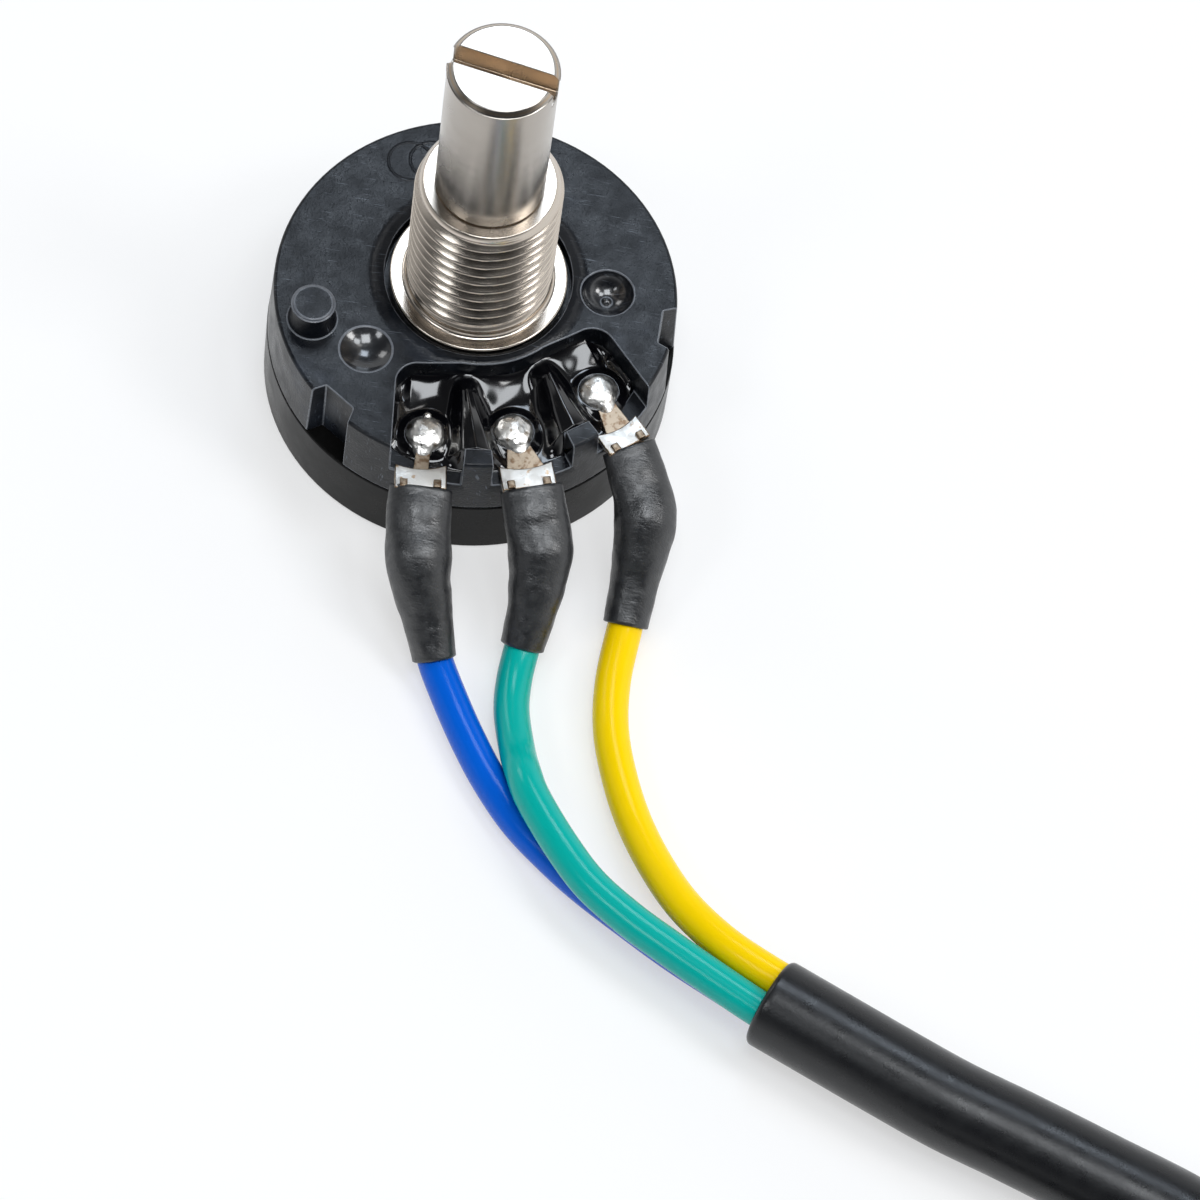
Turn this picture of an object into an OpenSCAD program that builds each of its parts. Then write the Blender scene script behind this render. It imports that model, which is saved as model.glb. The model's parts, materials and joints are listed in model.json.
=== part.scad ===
// Panel-mount rotary potentiometer: moulded housing, threaded bushing, slotted shaft,
// three potted solder tags and a three-core cable.
// It stands on its rear cover. The shaft turns about Z, and the origin is where that axis
// meets the cover's outer face. Angles are measured about the shaft from +X.

/* [Housing] */
// Diameter of the round housing at the rear cover
body_d = 24; // [23.6:0.1:26]
// Diameter of the housing at its front face, less than the rear because of the mould draft
front_face_d = 23.6; // [22.8:0.1:23.6]
// Distance from the shaft to the centre of the round housing, towards -Y
body_shift = 1; // [0.7:0.1:1.2]
// Height of the rear cover
cover_h = 4.55; // [4.4:0.05:5.5]
// Height of the front housing
housing_h = 4.6; // [4.4:0.05:6]
// Radius of the moulded edge round the front face
face_edge_r = 0.2; // [0.05:0.05:0.4]
// Chamfer on both sides of the parting line
parting_chamfer = 0.08; // [0.02:0.02:0.2]
// Thickness of the rear cover's floor
cover_floor_t = 1.2; // [0.9:0.1:1.3]
// Thickness of the rear cover's wall
cover_wall_t = 1.5; // [1.2:0.1:1.8]
// Diameter of the ejector marks on the rear face
ejector_mark_d = 2.4; // [1:0.2:3]

/* [Front face features] */
// Outer diameter of the raised cone round the bushing
collar_d = 13.2; // [12.8:0.1:13.6]
// Height of the raised cone
collar_h = 0.16; // [0.05:0.01:0.2]
// Gap between the bushing's flange and the housing
flange_gap = 0.3; // [0.1:0.05:0.4]
// Diameter of the locating lug at its base
lug_base_d = 2.88; // [2.6:0.02:3.2]
// Diameter of the locating lug's straight tip
lug_tip_d = 2.5; // [2:0.1:2.6]
// Height of the locating lug
lug_h = 1.75; // [1.2:0.05:2.4]
// Distance from the shaft to the locating lug
lug_reach = 10.2; // [10:0.1:10.2]
// Angle of the locating lug
lug_angle = -153; // [-158:1:-150]
// Diameter of the shallow dimple beside the lug
dimple_d = 3.1; // [2.4:0.1:3.2]
// Depth of the shallow dimple
dimple_depth = 0.55; // [0.3:0.05:0.8]
// Diameter of the deep dimple on the other side
pit_d = 3.1; // [2.4:0.1:3.2]
// Depth of the deep dimple
pit_depth = 1.1; // [0.6:0.1:1.4]
// Width of each key notch at its root
notch_w = 2.15; // [1.6:0.05:2.6]
// Distance from the shaft to the root of the left notch
notch_left_reach = 11.65; // [11.4:0.05:11.8]
// Distance from the shaft to the root of the right notch
notch_right_reach = 10.95; // [10.9:0.05:11.1]
// Angle by which each notch wall flares
notch_flare = 24; // [0:1:30]

/* [Bushing] */
// Outer diameter of the bushing's thread
thread_d = 8.6; // [8.2:0.1:9]
// Height of the bushing above its flange
bushing_h = 10.15; // [8:0.05:14]
// Diameter of the bushing's flange
flange_d = 10.4; // [10:0.1:10.8]
// Thickness of the flange
flange_t = 1.1; // [0.8:0.1:1.6]
// Height by which the flange stands above the front face
flange_proud = 0.25; // [0.2:0.05:0.4]
// Diameter of the shank held in the housing
shank_d = 8.2; // [7.8:0.1:8.4]
// Length of the lead chamfer at the top of the thread
lead_chamfer = 0.5; // [0.2:0.05:0.8]

/* [Shaft] */
// Diameter of the shaft
shaft_d = 6.35; // [6:0.01:6.5]
// Height of the shaft above the bushing
shaft_reach = 11.8; // [8:0.1:30]
// Running clearance between shaft and bushing
shaft_clearance = 0.03; // [0.02:0.01:0.06]
// Chamfer at the top of the shaft
shaft_chamfer = 0.31; // [0.1:0.01:0.6]
// Width of the screwdriver slot
slot_w = 1.14; // [0.8:0.02:1.4]
// Depth of the screwdriver slot
slot_depth = 1.5; // [1:0.1:2.5]
// Direction of the slot at rest
slot_angle = -10; // [-30:1:30]
// Diameter of the shaft's driving tail
tail_d = 4.6; // [4:0.1:5]
// Depth of the flat on the driving tail
tail_flat = 0.6; // [0.3:0.1:0.9]

/* [Resistive element] */
// Diameter of the element's wafer
wafer_d = 18.4; // [18:0.1:18.8]
// Thickness of the wafer
wafer_t = 0.8; // [0.6:0.1:0.9]
// Reach of the wafer's ear under the solder tags
wafer_ear_reach = 10.8; // [10.8:0.05:10.9]
// Diameter of the hole in the wafer
wafer_hole_d = 9.2; // [9.1:0.1:9.6]
// Thickness of the printed rings
print_t = 0.1; // [0.05:0.01:0.15]
// Mean diameter of the resistive ring
track_d = 16; // [15.6:0.1:16.2]
// Width of the resistive ring
track_w = 1.5; // [1:0.1:1.8]
// Mean diameter of the collector ring
collector_d = 11.4; // [11.2:0.1:11.8]
// Width of the collector ring
collector_w = 1.1; // [0.8:0.1:1.2]
// Angle that the resistive ring leaves open
track_open_angle = 44; // [30:2:50]

/* [Rotor] */
// Diameter of the rotor disc
rotor_d = 16.4; // [16:0.1:16.6]
// Thickness of the rotor disc
rotor_t = 1; // [0.8:0.1:1.2]
// Gap between the rotor and the cover's floor
rotor_gap = 0.5; // [0.3:0.05:0.6]
// Outer radius of the rotor's stop lug
stop_lug_reach = 8.9; // [8.7:0.1:9]
// Half angle of the rotor's stop lug
stop_lug_half = 14; // [10:1:15]
// Half angle of the cover's stop rib
stop_rib_half = 14; // [10:1:15]
// Angle of the cover's stop rib
stop_rib_angle = 113; // [108:1:118]
// Thickness of the wiper's spring sheet
wiper_t = 0.15; // [0.1:0.01:0.2]
// Gap between the wiper's feet and the printed rings
wiper_gap = 0.03; // [0.02:0.01:0.05]

/* [Terminals] */
// Angle of the middle of the terminal recess
recess_angle = -66.5; // [-68:0.5:-65]
// Radius of the recess's inner wall about the shaft
recess_inner_r = 6.05; // [6:0.05:6.2]
// Thickness of the floor between the recess and the wafer
recess_floor_t = 0.8; // [0.6:0.05:1]
// Depth of the sill below the front face
sill_drop = 2.15; // [2:0.05:2.4]
// Thickness of the recess's outer wall
sill_t = 1.15; // [0.9:0.05:1.3]
// Angle from the middle of the recess to each parting block
block_angle = 15; // [13.5:0.5:16]
// Width of each parting block at the outside
block_w = 1.85; // [1.4:0.05:2]
// Height of the ribs behind the blocks, below the front face
rib_drop = 0.95; // [0.7:0.05:1.4]
// Thickness of the tags' sheet metal
tag_t = 0.35; // [0.25:0.05:0.4]
// Length of each tag's flat head
tag_head_l = 1.55; // [1.3:0.05:1.8]
// Length of each tag's tail inside its sleeve
tag_tail_l = 3.2; // [2.4:0.1:3.2]
// Diameter of the solder drops
solder_d = 2.3; // [1.9:0.05:2.6]
// Diameter of the rivets
rivet_d = 1.3; // [1:0.1:1.5]
// Depth of the potting's flat surface below the front face
potting_drop = 2.2; // [2.15:0.05:2.5]

/* [Cable] */
// Diameter of each core's insulation
core_d = 2.1; // [1.8:0.1:2.1]
// Diameter of the tinned strands
strand_d = 1.2; // [0.9:0.1:1.4]
// Diameter of the cable's jacket
cable_d = 5.4; // [5.2:0.1:5.6]
// Wall of the shrink sleeves
sleeve_t = 0.25; // [0.15:0.05:0.3]
// Turns of the stored coil
coil_turns = 2; // [1:1:4]
// Spacing of the coil's turns
coil_pitch = 5.45; // [5.4:0.05:5.6]
// Centreline radius of the coil's outer turn
coil_r = 31.5; // [30:0.5:32]
// Thickness of the coil's tie
tie_t = 0.4; // [0.3:0.1:0.6]
// Width of the coil's tie
tie_w = 2.6; // [2:0.1:3.5]

/* [Hidden] */
$fn = 96;
eps = 0.01;

// Heights of the main planes
z_part = cover_h;
z_face = cover_h + housing_h;
z_wafer_top = z_part + wafer_t;
z_recess = z_wafer_top + recess_floor_t;
z_sill = z_face - sill_drop;
z_potting = z_face - potting_drop;
z_rib = z_face - rib_drop;
z_flange = z_face + flange_proud;
z_bushing = z_flange + bushing_h;
z_shaft = z_bushing + shaft_reach;

// Radii about the housing's own centre
rear_r = body_d / 2;
face_r = front_face_d / 2;
part_r = rear_r - 0.03;
cover_cavity_r = rear_r - cover_wall_t;
sill_inner_r = face_r - sill_t;

// Places of the small features, which follow no other size
dimple_at = [-5.7, -6.1];
pit_at = [7.6, 0.3];
nipple_r = 0.32;
notch_left_angle = -125;
notch_right_shift = -1.4;
ejector_mark_reach = 7.5;
ejector_mark_depth = 0.06;

// Recess corners, in the recess's own frame
recess_corner_r = 1.3;
recess_corner_v = 5.25;
recess_corner_shift = 0.1;
recess_arc_half = 24;
recess_wall_slope = 18.3;

// Tip of the wedge ribs
rib_tip_r = recess_inner_r + 1.2;
rib_tip_w = 0.24;
rib_lean = 5;

// Stack at the back of the bushing
washer_t = 0.3;
clip_t = 0.35;
end_float = 0.04;
z_shank = z_part + 0.3;
z_washer = z_shank - end_float - washer_t;
z_clip = z_washer - end_float - clip_t;
journal_d = shaft_d - 0.35;
shoulder_gap = 0.15;
bushing_bore_r = journal_d / 2 + shaft_clearance;
washer_r = (wafer_hole_d - 1) / 2;
groove_r = shaft_d / 2 - 0.6;

// Rotor stack on the cover's floor
z_rotor = cover_floor_t + rotor_gap;
z_rotor_top = z_rotor + rotor_t;
z_print = z_part - print_t;
z_tail = cover_floor_t + 0.2;
z_tail_shoulder = z_clip - 0.4;
z_shoulder = z_bushing + shoulder_gap;
hub_r = tail_d / 2 + 1.1;

// Each solder joint: its angle about the shaft and its distance from it
joints = [[-98.5, 10.2], [-68.7, 9.65], [-34, 9.65]];
// Each tag's head: middle of its inner edge, direction, width, and width of the neck at the head
heads = [
    [[-1.45, -12.15], -82, 2.95, 0.9], [[4.5, -11], -72, 3.1, 2.3], [[9.3, -7.45], -49, 2.7, 1.7]
];
neck_w = 0.8;
head_hollow = 0.32;
head_ear = [0.5, 0.45, 0.22];
tag_step = 0.5;
tail_slope = 22;
eyelet_rim = 0.35;
// Drops of solder: how far the taper onto the neck reaches, and the nub on the left one
taper_l = 1.5;
nub_r = 0.33;
nub_at = [-0.05, 1.2];
// Mounds of resin round the drops
mound_r = 1.9;
mound_top_r = 1.35;
mound_h = 0.45;
tag_gap = 0.05;
solder_lift = 0.65;
z_head = z_sill + tag_gap;
solder_z = z_potting + solder_lift;

// Shrink sleeves: points of the centreline, half widths and half heights
sleeve_paths = [
    [
        [-1.2, -13.4, 6.9], [-1.1, -15, 6.2], [-0.7, -17, 5],
        [-0.2, -18.4, 3.8], [0.5, -19.8, 2.6], [1.1, -21.3, 1.45]
    ],
    [
        [5.05, -12.2, 6.9], [5.6, -13.7, 6.1], [6.1, -15, 5.1],
        [6.25, -16.5, 3.9], [6.2, -18, 2.7], [6, -19.6, 1.45]
    ],
    [
        [10.25, -8.5, 6.9], [11.1, -10, 6.1], [11.8, -11.5, 5.1],
        [11.9, -13.3, 3.8], [11.8, -15.1, 2.6], [11.7, -17.1, 1.45]
    ]
];
sleeve_half_w = [
    [1.9, 1.95, 2, 1.75, 1.45, 1.35], [1.9, 1.95, 2, 1.7, 1.45, 1.35], [1.65, 1.8, 1.9, 1.65, 1.45, 1.35]
];
sleeve_half_h = [0.85, 1.15, 1.65, 1.6, 1.4, 1.35];

// Cores between the sleeves and the jacket
blue_path = [
    [-0.6, -17, 4.9], [-0.2, -18.4, 3.7], [0.5, -19.8, 2.4], [1.1, -21.3, 1.4], [2.3, -23.5, 1.1],
    [3.7, -25.9, 1.05], [5.3, -28.3, 1.05], [7.3, -30.7, 1.05], [9.5, -32.6, 1.05], [11.7, -34.2, 1.05],
    [14.5, -35.9, 1.05],
    [17.3, -37.5, 1.05], [20.2, -39, 1.15], [23, -40.4, 1.3], [24.6, -41.1, 1.4]
];
green_path = [
    [6.2, -15.7, 4.5], [6.25, -16.6, 3.7], [6.2, -18, 2.5], [6, -19.6, 1.5], [5.85, -21.7, 1.15],
    [6, -23.9, 1.3], [6.7, -26.7, 1.9], [7.3, -28.6, 2.75], [8.05, -30.2, 3.05], [9.9, -32.8, 3.25],
    [12, -35.1, 3.25], [14.5, -36.9, 3.25], [16.9, -38.3, 3.3], [19.5, -39.7, 3.3], [22.2, -41.1, 3.3],
    [24, -41.9, 3.3]
];
yellow_path = [
    [11.85, -12.1, 4.7], [11.9, -13.3, 3.8], [11.8, -15.1, 2.5], [11.7, -17.1, 1.45], [11.5, -20.6, 1.1],
    [11.8, -23.8, 1.1], [12.7, -26.8, 1.1], [14, -29.8, 1.3], [15.7, -32.7, 1.8], [17.6, -35.2, 2.4],
    [20.1, -37.4, 3], [22.8, -38.95, 3.3],
    [24.7, -39.75, 3.3]
];
jacket_path = [
    [23, -40.4, 2.75], [26.5, -41.9, 2.75], [30, -43.4, 2.75], [33.9, -45, 2.75], [37.8, -46.3, 2.75],
    [42.8, -48.1, 2.8], [47.7, -49.9, 2.85], [52.5, -52.3, 2.95], [56.9, -55.5, 3.05], [61.1, -59.6, 3.1],
    [65.9, -65.4, 3.15]
];
// Coil's centre, and the direction from it to the coil's start
coil_centre = [42.5, -86.5];
coil_start_angle = 42;
tie_gap = 0.05;
coil_z = cable_d / 2 + tie_t + tie_gap;
coil_end_r = coil_r - coil_turns * coil_pitch;
tie_angle = -60;
latch = [2, tie_w + 1.6, 3];
cable_end_path = [
    [57.8, -72.7, 3.15], [60.5, -77, 3.1], [61.5, -81.9, 2.95], [60.6, -86.8, 2.8], [58, -91, 2.75],
    [54, -94.1, 2.75]
];
core_end_paths = [
    [[54.5, -93.7, 1.45], [51.1, -96, 1.2], [47.2, -97.2, 1.05], [43.1, -97.5, 1.05]],
    [[55.15, -94.55, 3.3], [52, -97.5, 2.6], [48, -99.9, 1.5], [43.6, -100.9, 1.05]],
    [[53.85, -92.9, 3.3], [50.2, -94.1, 2.6], [46.4, -94.5, 1.5], [42.5, -94.2, 1.05]]
];

// Points of an arc
function arc(c, r, a0, a1, n) =
    [for (i = [0 : n]) let (a = a0 + (a1 - a0) * i / n) c + r * [cos(a), sin(a)]];
// Direction of a path at one of its points
function heading(p, i) =
    let (d = p[min(i + 1, len(p) - 1)] - p[max(i - 1, 0)]) d / norm(d);
function unit(v) = v / norm(v);
// One ring of points round a path, half as wide as w and half as high as h
function ring(p, i, w, h, sides) =
    let (t = heading(p, i), side = unit(cross(t, [0, 0, 1])), up = cross(side, t))
    [for (k = [0 : sides - 1]) let (a = 360 * (k + 0.5) / sides) p[i] + w * cos(a) * side + h * sin(a) * up];
// Triangles between two rings whose points start at a and b, facing outwards if b follows a
function band(a, b, sides) =
    [for (k = [0 : sides - 1]) let (n = (k + 1) % sides) each [[a + n, b + n, b + k], [a + n, b + k, a + k]]];

// A solid tube along a path
module cord(path, d, sides = 8) {
    last = len(path) - 1;
    rings = [for (i = [0 : last]) ring(path, i, d / 2, d / 2, sides)];
    skin = [for (i = [0 : last - 1]) each band(i * sides, (i + 1) * sides, sides)];
    ends = [[for (k = [sides - 1 : -1 : 0]) k], [for (k = [0 : sides - 1]) last * sides + k]];
    polyhedron([for (r = rings) each r], concat(skin, ends), convexity = 6);
}

// A hollow sleeve whose width and height change along a path
module sleeve(path, half_w, half_h, sides = 12) {
    last = len(path) - 1;
    n = (last + 1) * sides;
    outer = [for (i = [0 : last]) each ring(path, i, half_w[i], half_h[i], sides)];
    inner = [for (i = [0 : last]) each ring(path, i, half_w[i] - sleeve_t, half_h[i] - sleeve_t, sides)];
    outer_faces = [for (i = [0 : last - 1]) each band(i * sides, (i + 1) * sides, sides)];
    inner_faces = [for (i = [0 : last - 1]) each band(n + (i + 1) * sides, n + i * sides, sides)];
    mouths = concat(band(n, 0, sides), band(last * sides, n + last * sides, sides));
    polyhedron(concat(outer, inner), concat(outer_faces, inner_faces, mouths), convexity = 8);
}

// Moves a shape from the shaft to the centre of the round housing
module at_body() translate([0, -body_shift, 0]) children();

// A sector between two radii and two angles
module sector(r_in, r_out, a0, a1, h) {
    steps = max(2, ceil((a1 - a0) / 6));
    linear_extrude(h)
        polygon(concat(arc([0, 0], r_out, a0, a1, steps), arc([0, 0], r_in, a1, a0, steps)));
}

// Outline of the terminal recess, open towards +X
module recess_outline() {
    corner = [recess_inner_r + recess_corner_shift, recess_corner_v];
    tangent = corner + recess_corner_r * [-sin(recess_wall_slope), cos(recess_wall_slope)];
    far = body_d;
    far_v = tangent[1] + (far - tangent[0]) * tan(recess_wall_slope);
    side = concat(arc(corner, recess_corner_r, 200, 90 + recess_wall_slope, 8), [[far, far_v]]);
    mirrored = [for (i = [len(side) - 1 : -1 : 0]) [side[i][0], -side[i][1]]];
    polygon(concat(mirrored, arc([0, 0], recess_inner_r, -recess_arc_half, recess_arc_half, 12), side));
}

// Distance from the shaft, in one direction, to a circle about the housing's centre
function reach_to(r, angle) =
    sqrt(r * r - pow(body_shift * cos(angle), 2)) - body_shift * sin(angle);

// A parting block along +X, from the sill's inner face outwards
module block_outline(inner_r) polygon([
    [inner_r, -block_w / 2 + 0.15], [inner_r + 3, -block_w / 2 - 0.15],
    [inner_r + 3, block_w / 2 + 0.15], [inner_r, block_w / 2 - 0.15]
]);

// The wedge rib behind a parting block along +X, whose tip leans to one side
module rib_outline(inner_r, lean) {
    tip = rib_tip_r * [cos(lean), sin(lean)];
    polygon([
        tip - [0, rib_tip_w / 2], [inner_r + 0.2, -block_w / 2 + 0.15],
        [inner_r + 0.2, block_w / 2 - 0.15], tip + [0, rib_tip_w / 2]
    ]);
}

// A key notch whose root stands at a distance from the shaft, along +X
module notch_outline(reach) {
    depth = 3;
    polygon([
        [reach, -notch_w / 2], [reach + depth, -notch_w / 2 - depth * tan(notch_flare)],
        [reach + depth, notch_w / 2 + depth * tan(notch_flare)], [reach, notch_w / 2]
    ]);
}

// A ball-shaped hollow of a given width and depth in the front face
module face_hollow(d, depth) {
    ball_r = (d * d / 4 + depth * depth) / (2 * depth);
    translate([0, 0, z_face - depth + ball_r]) sphere(ball_r);
}

// Position of a solder joint
function joint_at(i) = joints[i][1] * [cos(joints[i][0]), sin(joints[i][0])];

module terminal_recess() {
    rotate([0, 0, recess_angle]) translate([0, 0, z_sill]) linear_extrude(z_face) recess_outline();
    intersection() {
        rotate([0, 0, recess_angle]) translate([0, 0, z_recess]) linear_extrude(z_face) recess_outline();
        at_body() cylinder(r = sill_inner_r, h = 2 * z_face);
    }
}

// The two parting blocks and their ribs, which stay standing in the recess
module recess_dividers() {
    for (side = [-1, 1]) {
        angle = recess_angle + side * block_angle;
        inner_r = reach_to(sill_inner_r, angle);
        rotate([0, 0, angle]) translate([0, 0, z_part]) {
            linear_extrude(z_face - z_part + eps) block_outline(inner_r);
            linear_extrude(z_rib - z_part) rib_outline(inner_r, side * rib_lean);
        }
    }
}

module housing_shell() {
    draft_h = housing_h - face_edge_r;
    rotate_extrude() polygon(concat(
        [[0, z_part], [part_r - parting_chamfer, z_part], [part_r, z_part + parting_chamfer]],
        arc([face_r - face_edge_r, z_part + draft_h], face_edge_r, 0, 90, 5),
        [[0, z_face]]
    ));
}

module front_housing() color("#25282d") difference() {
    union() {
        difference() {
            union() {
                at_body() housing_shell();
                translate([0, 0, z_face - eps])
                    cylinder(d1 = collar_d, d2 = flange_d + 2 * flange_gap + 0.1, h = collar_h + eps);
            }
            difference() {
                terminal_recess();
                recess_dividers();
            }
        }
        rotate([0, 0, lug_angle]) translate([lug_reach, 0, 0]) lug();
    }
    translate([0, 0, z_part - eps]) cylinder(d = shank_d, h = 2 * housing_h);
    translate([0, 0, z_flange - flange_t]) cylinder(d = flange_d + 2 * flange_gap, h = housing_h);
    translate([0, 0, z_part - eps]) wafer_blank(0.05, wafer_t + eps);
    for (i = [0 : 2]) translate([joint_at(i)[0], joint_at(i)[1], z_part])
        cylinder(d = rivet_d, h = housing_h);
    translate([dimple_at[0], dimple_at[1], 0]) face_hollow(dimple_d, dimple_depth);
    translate([pit_at[0], pit_at[1], 0]) difference() {
        face_hollow(pit_d, pit_depth);
        translate([0, 0, z_face - pit_depth]) sphere(nipple_r, $fn = 32);
    }
    rotate([0, 0, notch_left_angle]) translate([0, 0, z_part - eps]) linear_extrude(2 * housing_h)
        notch_outline(notch_left_reach);
    translate([0, notch_right_shift, z_part - eps]) linear_extrude(2 * housing_h)
        notch_outline(notch_right_reach);
}

// Locating lug, drawn about its own axis
module lug() {
    cone_h = lug_h * 0.55;
    tip_chamfer = 0.12;
    translate([0, 0, z_face - eps]) cylinder(d1 = lug_base_d, d2 = lug_tip_d, h = cone_h + eps);
    translate([0, 0, z_face + cone_h - eps]) cylinder(d = lug_tip_d, h = lug_h - cone_h - tip_chamfer + eps);
    translate([0, 0, z_face + lug_h - tip_chamfer - eps])
        cylinder(d1 = lug_tip_d, d2 = lug_tip_d - 2 * tip_chamfer, h = tip_chamfer + eps);
}

module rear_cover() color("#2b2a2a") difference() {
    union() {
        difference() {
            at_body() rotate_extrude() polygon([
                [0, 0], [rear_r - 0.15, 0], [rear_r, 0.15], [rear_r, z_part - parting_chamfer],
                [rear_r - parting_chamfer, z_part], [0, z_part]
            ]);
            at_body() translate([0, 0, cover_floor_t]) cylinder(r = cover_cavity_r, h = cover_h);
        }
        intersection() {
            translate([0, 0, cover_floor_t - eps])
                sector(stop_lug_reach - 0.6, rear_r + 2, stop_rib_angle - stop_rib_half,
                    stop_rib_angle + stop_rib_half, z_rotor_top - cover_floor_t);
            at_body() cylinder(r = cover_cavity_r + eps, h = cover_h);
        }
    }
    for (a = [30 : 120 : 270]) rotate([0, 0, a]) translate([ejector_mark_reach, 0, -eps])
        cylinder(d = ejector_mark_d, h = ejector_mark_depth + eps);
}

module bushing() color("#cfc8c0") rotate_extrude() polygon([
    [bushing_bore_r, z_shank], [shank_d / 2, z_shank], [shank_d / 2, z_flange - flange_t],
    [flange_d / 2, z_flange - flange_t], [flange_d / 2, z_flange - 0.1], [flange_d / 2 - 0.1, z_flange],
    [thread_d / 2 + 0.5, z_flange], [thread_d / 2 + 0.15, z_flange + 0.15], [thread_d / 2, z_flange + 0.5],
    [thread_d / 2, z_bushing - lead_chamfer], [thread_d / 2 - lead_chamfer, z_bushing],
    [bushing_bore_r + 0.15, z_bushing], [bushing_bore_r, z_bushing - 0.2]
]);

// The wafer's outline: a disc with an ear under the solder tags
module wafer_blank(extra, h) {
    cylinder(d = wafer_d + 2 * extra, h = h);
    sector(1, wafer_ear_reach + extra, joints[0][0] - 9, joints[2][0] + 9, h);
}

module element_wafer() color("#6b4a2c") difference() {
    translate([0, 0, z_part]) wafer_blank(0, wafer_t);
    translate([0, 0, z_part - eps]) cylinder(d = wafer_hole_d, h = 2 * wafer_t);
    for (i = [0 : 2]) translate([joint_at(i)[0], joint_at(i)[1], z_part - eps])
        cylinder(d = rivet_d, h = 2 * wafer_t);
}

module printed_ring(d, w, open) translate([0, 0, z_print]) difference() {
    cylinder(d = d + w, h = print_t);
    translate([0, 0, -eps]) cylinder(d = d - w, h = 2 * print_t);
    if (open > 0) rotate([0, 0, stop_rib_angle]) translate([0, 0, -eps])
        sector(1, d, -open / 2, open / 2, 2 * print_t);
}

module resistive_track() color("#1b1b1d") printed_ring(track_d, track_w, track_open_angle);

module collector_ring() color("#c9c3b4") printed_ring(collector_d, collector_w, 0);

module shaft() color("#b9b2aa") difference() {
    union() {
        translate([0, 0, z_tail_shoulder])
            cylinder(d = journal_d, h = z_shoulder - z_tail_shoulder + eps);
        translate([0, 0, z_shoulder])
            cylinder(d = shaft_d, h = z_shaft - shaft_chamfer - z_shoulder);
        translate([0, 0, z_shaft - shaft_chamfer - eps])
            cylinder(d1 = shaft_d, d2 = shaft_d - 2 * shaft_chamfer, h = shaft_chamfer + eps);
        translate([0, 0, z_tail]) cylinder(d = tail_d, h = z_tail_shoulder - z_tail + eps);
    }
    rotate([0, 0, slot_angle]) translate([-shaft_d, -slot_w / 2, z_shaft - slot_depth])
        cube([2 * shaft_d, slot_w, 2 * slot_depth]);
    translate([0, 0, z_clip]) difference() {
        cylinder(d = shaft_d + 1, h = clip_t);
        translate([0, 0, -eps]) cylinder(r = groove_r, h = clip_t + 2 * eps);
    }
    translate([tail_d / 2 - tail_flat, -shaft_d, z_tail - eps])
        cube([shaft_d, 2 * shaft_d, z_tail_shoulder - z_tail + eps]);
}

module thrust_washer() color("#d9d4c6") translate([0, 0, z_washer]) difference() {
    cylinder(r = washer_r, h = washer_t);
    translate([0, 0, -eps]) cylinder(r = bushing_bore_r + 0.1, h = 2 * washer_t);
}

module retaining_clip() color("#8f8f93") translate([0, 0, z_clip]) difference() {
    cylinder(r = washer_r - 0.2, h = clip_t);
    translate([0, 0, -eps]) cylinder(r = groove_r, h = 2 * clip_t);
    translate([0, -groove_r * 0.8, -eps]) cube([shaft_d, groove_r * 1.6, 2 * clip_t]);
}

module rotor() color("#d8d2c4") difference() {
    union() {
        translate([0, 0, z_rotor]) cylinder(d = rotor_d, h = rotor_t);
        translate([0, 0, z_rotor]) cylinder(r = hub_r, h = z_tail_shoulder - z_rotor - 0.05);
        rotate([0, 0, stop_rib_angle + 180]) translate([0, 0, z_rotor])
            sector(rotor_d / 2 - 1, stop_lug_reach, -stop_lug_half, stop_lug_half, rotor_t);
    }
    difference() {
        translate([0, 0, z_rotor - eps]) cylinder(d = tail_d + 0.02, h = cover_h);
        translate([tail_d / 2 - tail_flat + 0.01, -shaft_d, 0]) cube([shaft_d, 2 * shaft_d, z_face]);
    }
}

// Spring sheet on the rotor, with a bent finger that reaches up to each printed ring
module wiper() color("#d2b06a") {
    rise = z_print - wiper_gap - z_rotor_top;
    finger_l = 3.4;
    finger_w = 0.7;
    plate_half = 14;
    track_finger_r = track_d / 2 - track_w / 6;
    translate([0, 0, z_rotor_top]) difference() {
        union() {
            cylinder(r = hub_r + 1.2, h = wiper_t);
            rotate([0, 0, stop_rib_angle + 180])
                sector(hub_r, track_finger_r + finger_w / 2, -plate_half, plate_half, wiper_t);
        }
        translate([0, 0, -eps]) cylinder(r = hub_r + 0.1, h = 2 * wiper_t);
    }
    rotate([0, 0, stop_rib_angle + 180]) for (r = [collector_d / 2, track_finger_r])
        translate([r - finger_w / 2, 0, z_rotor_top]) rotate([90, 0, 90]) linear_extrude(finger_w) polygon([
            [-1, 0], [0, 0], [finger_l, rise - wiper_t], [finger_l + 0.6, rise - 2.5 * wiper_t],
            [finger_l + 0.6, rise - 1.5 * wiper_t], [finger_l, rise], [-0.1, wiper_t], [-1, wiper_t]
        ]);
}

// Outline of a tag's head along +X: hollow inner edge, and corners cut in beside the tail
module head_outline(w) {
    inner = [for (k = [-6 : 6]) [head_hollow * (1 - k * k / 36), k * w / 12]];
    polygon(concat(inner, [
        [tag_head_l - head_ear[0], w / 2], [tag_head_l - head_ear[0], w / 2 - tag_step],
        [tag_head_l, w / 2 - tag_step], [tag_head_l, tag_step - w / 2],
        [tag_head_l - head_ear[0], tag_step - w / 2], [tag_head_l - head_ear[0], -w / 2]
    ]));
}

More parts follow.
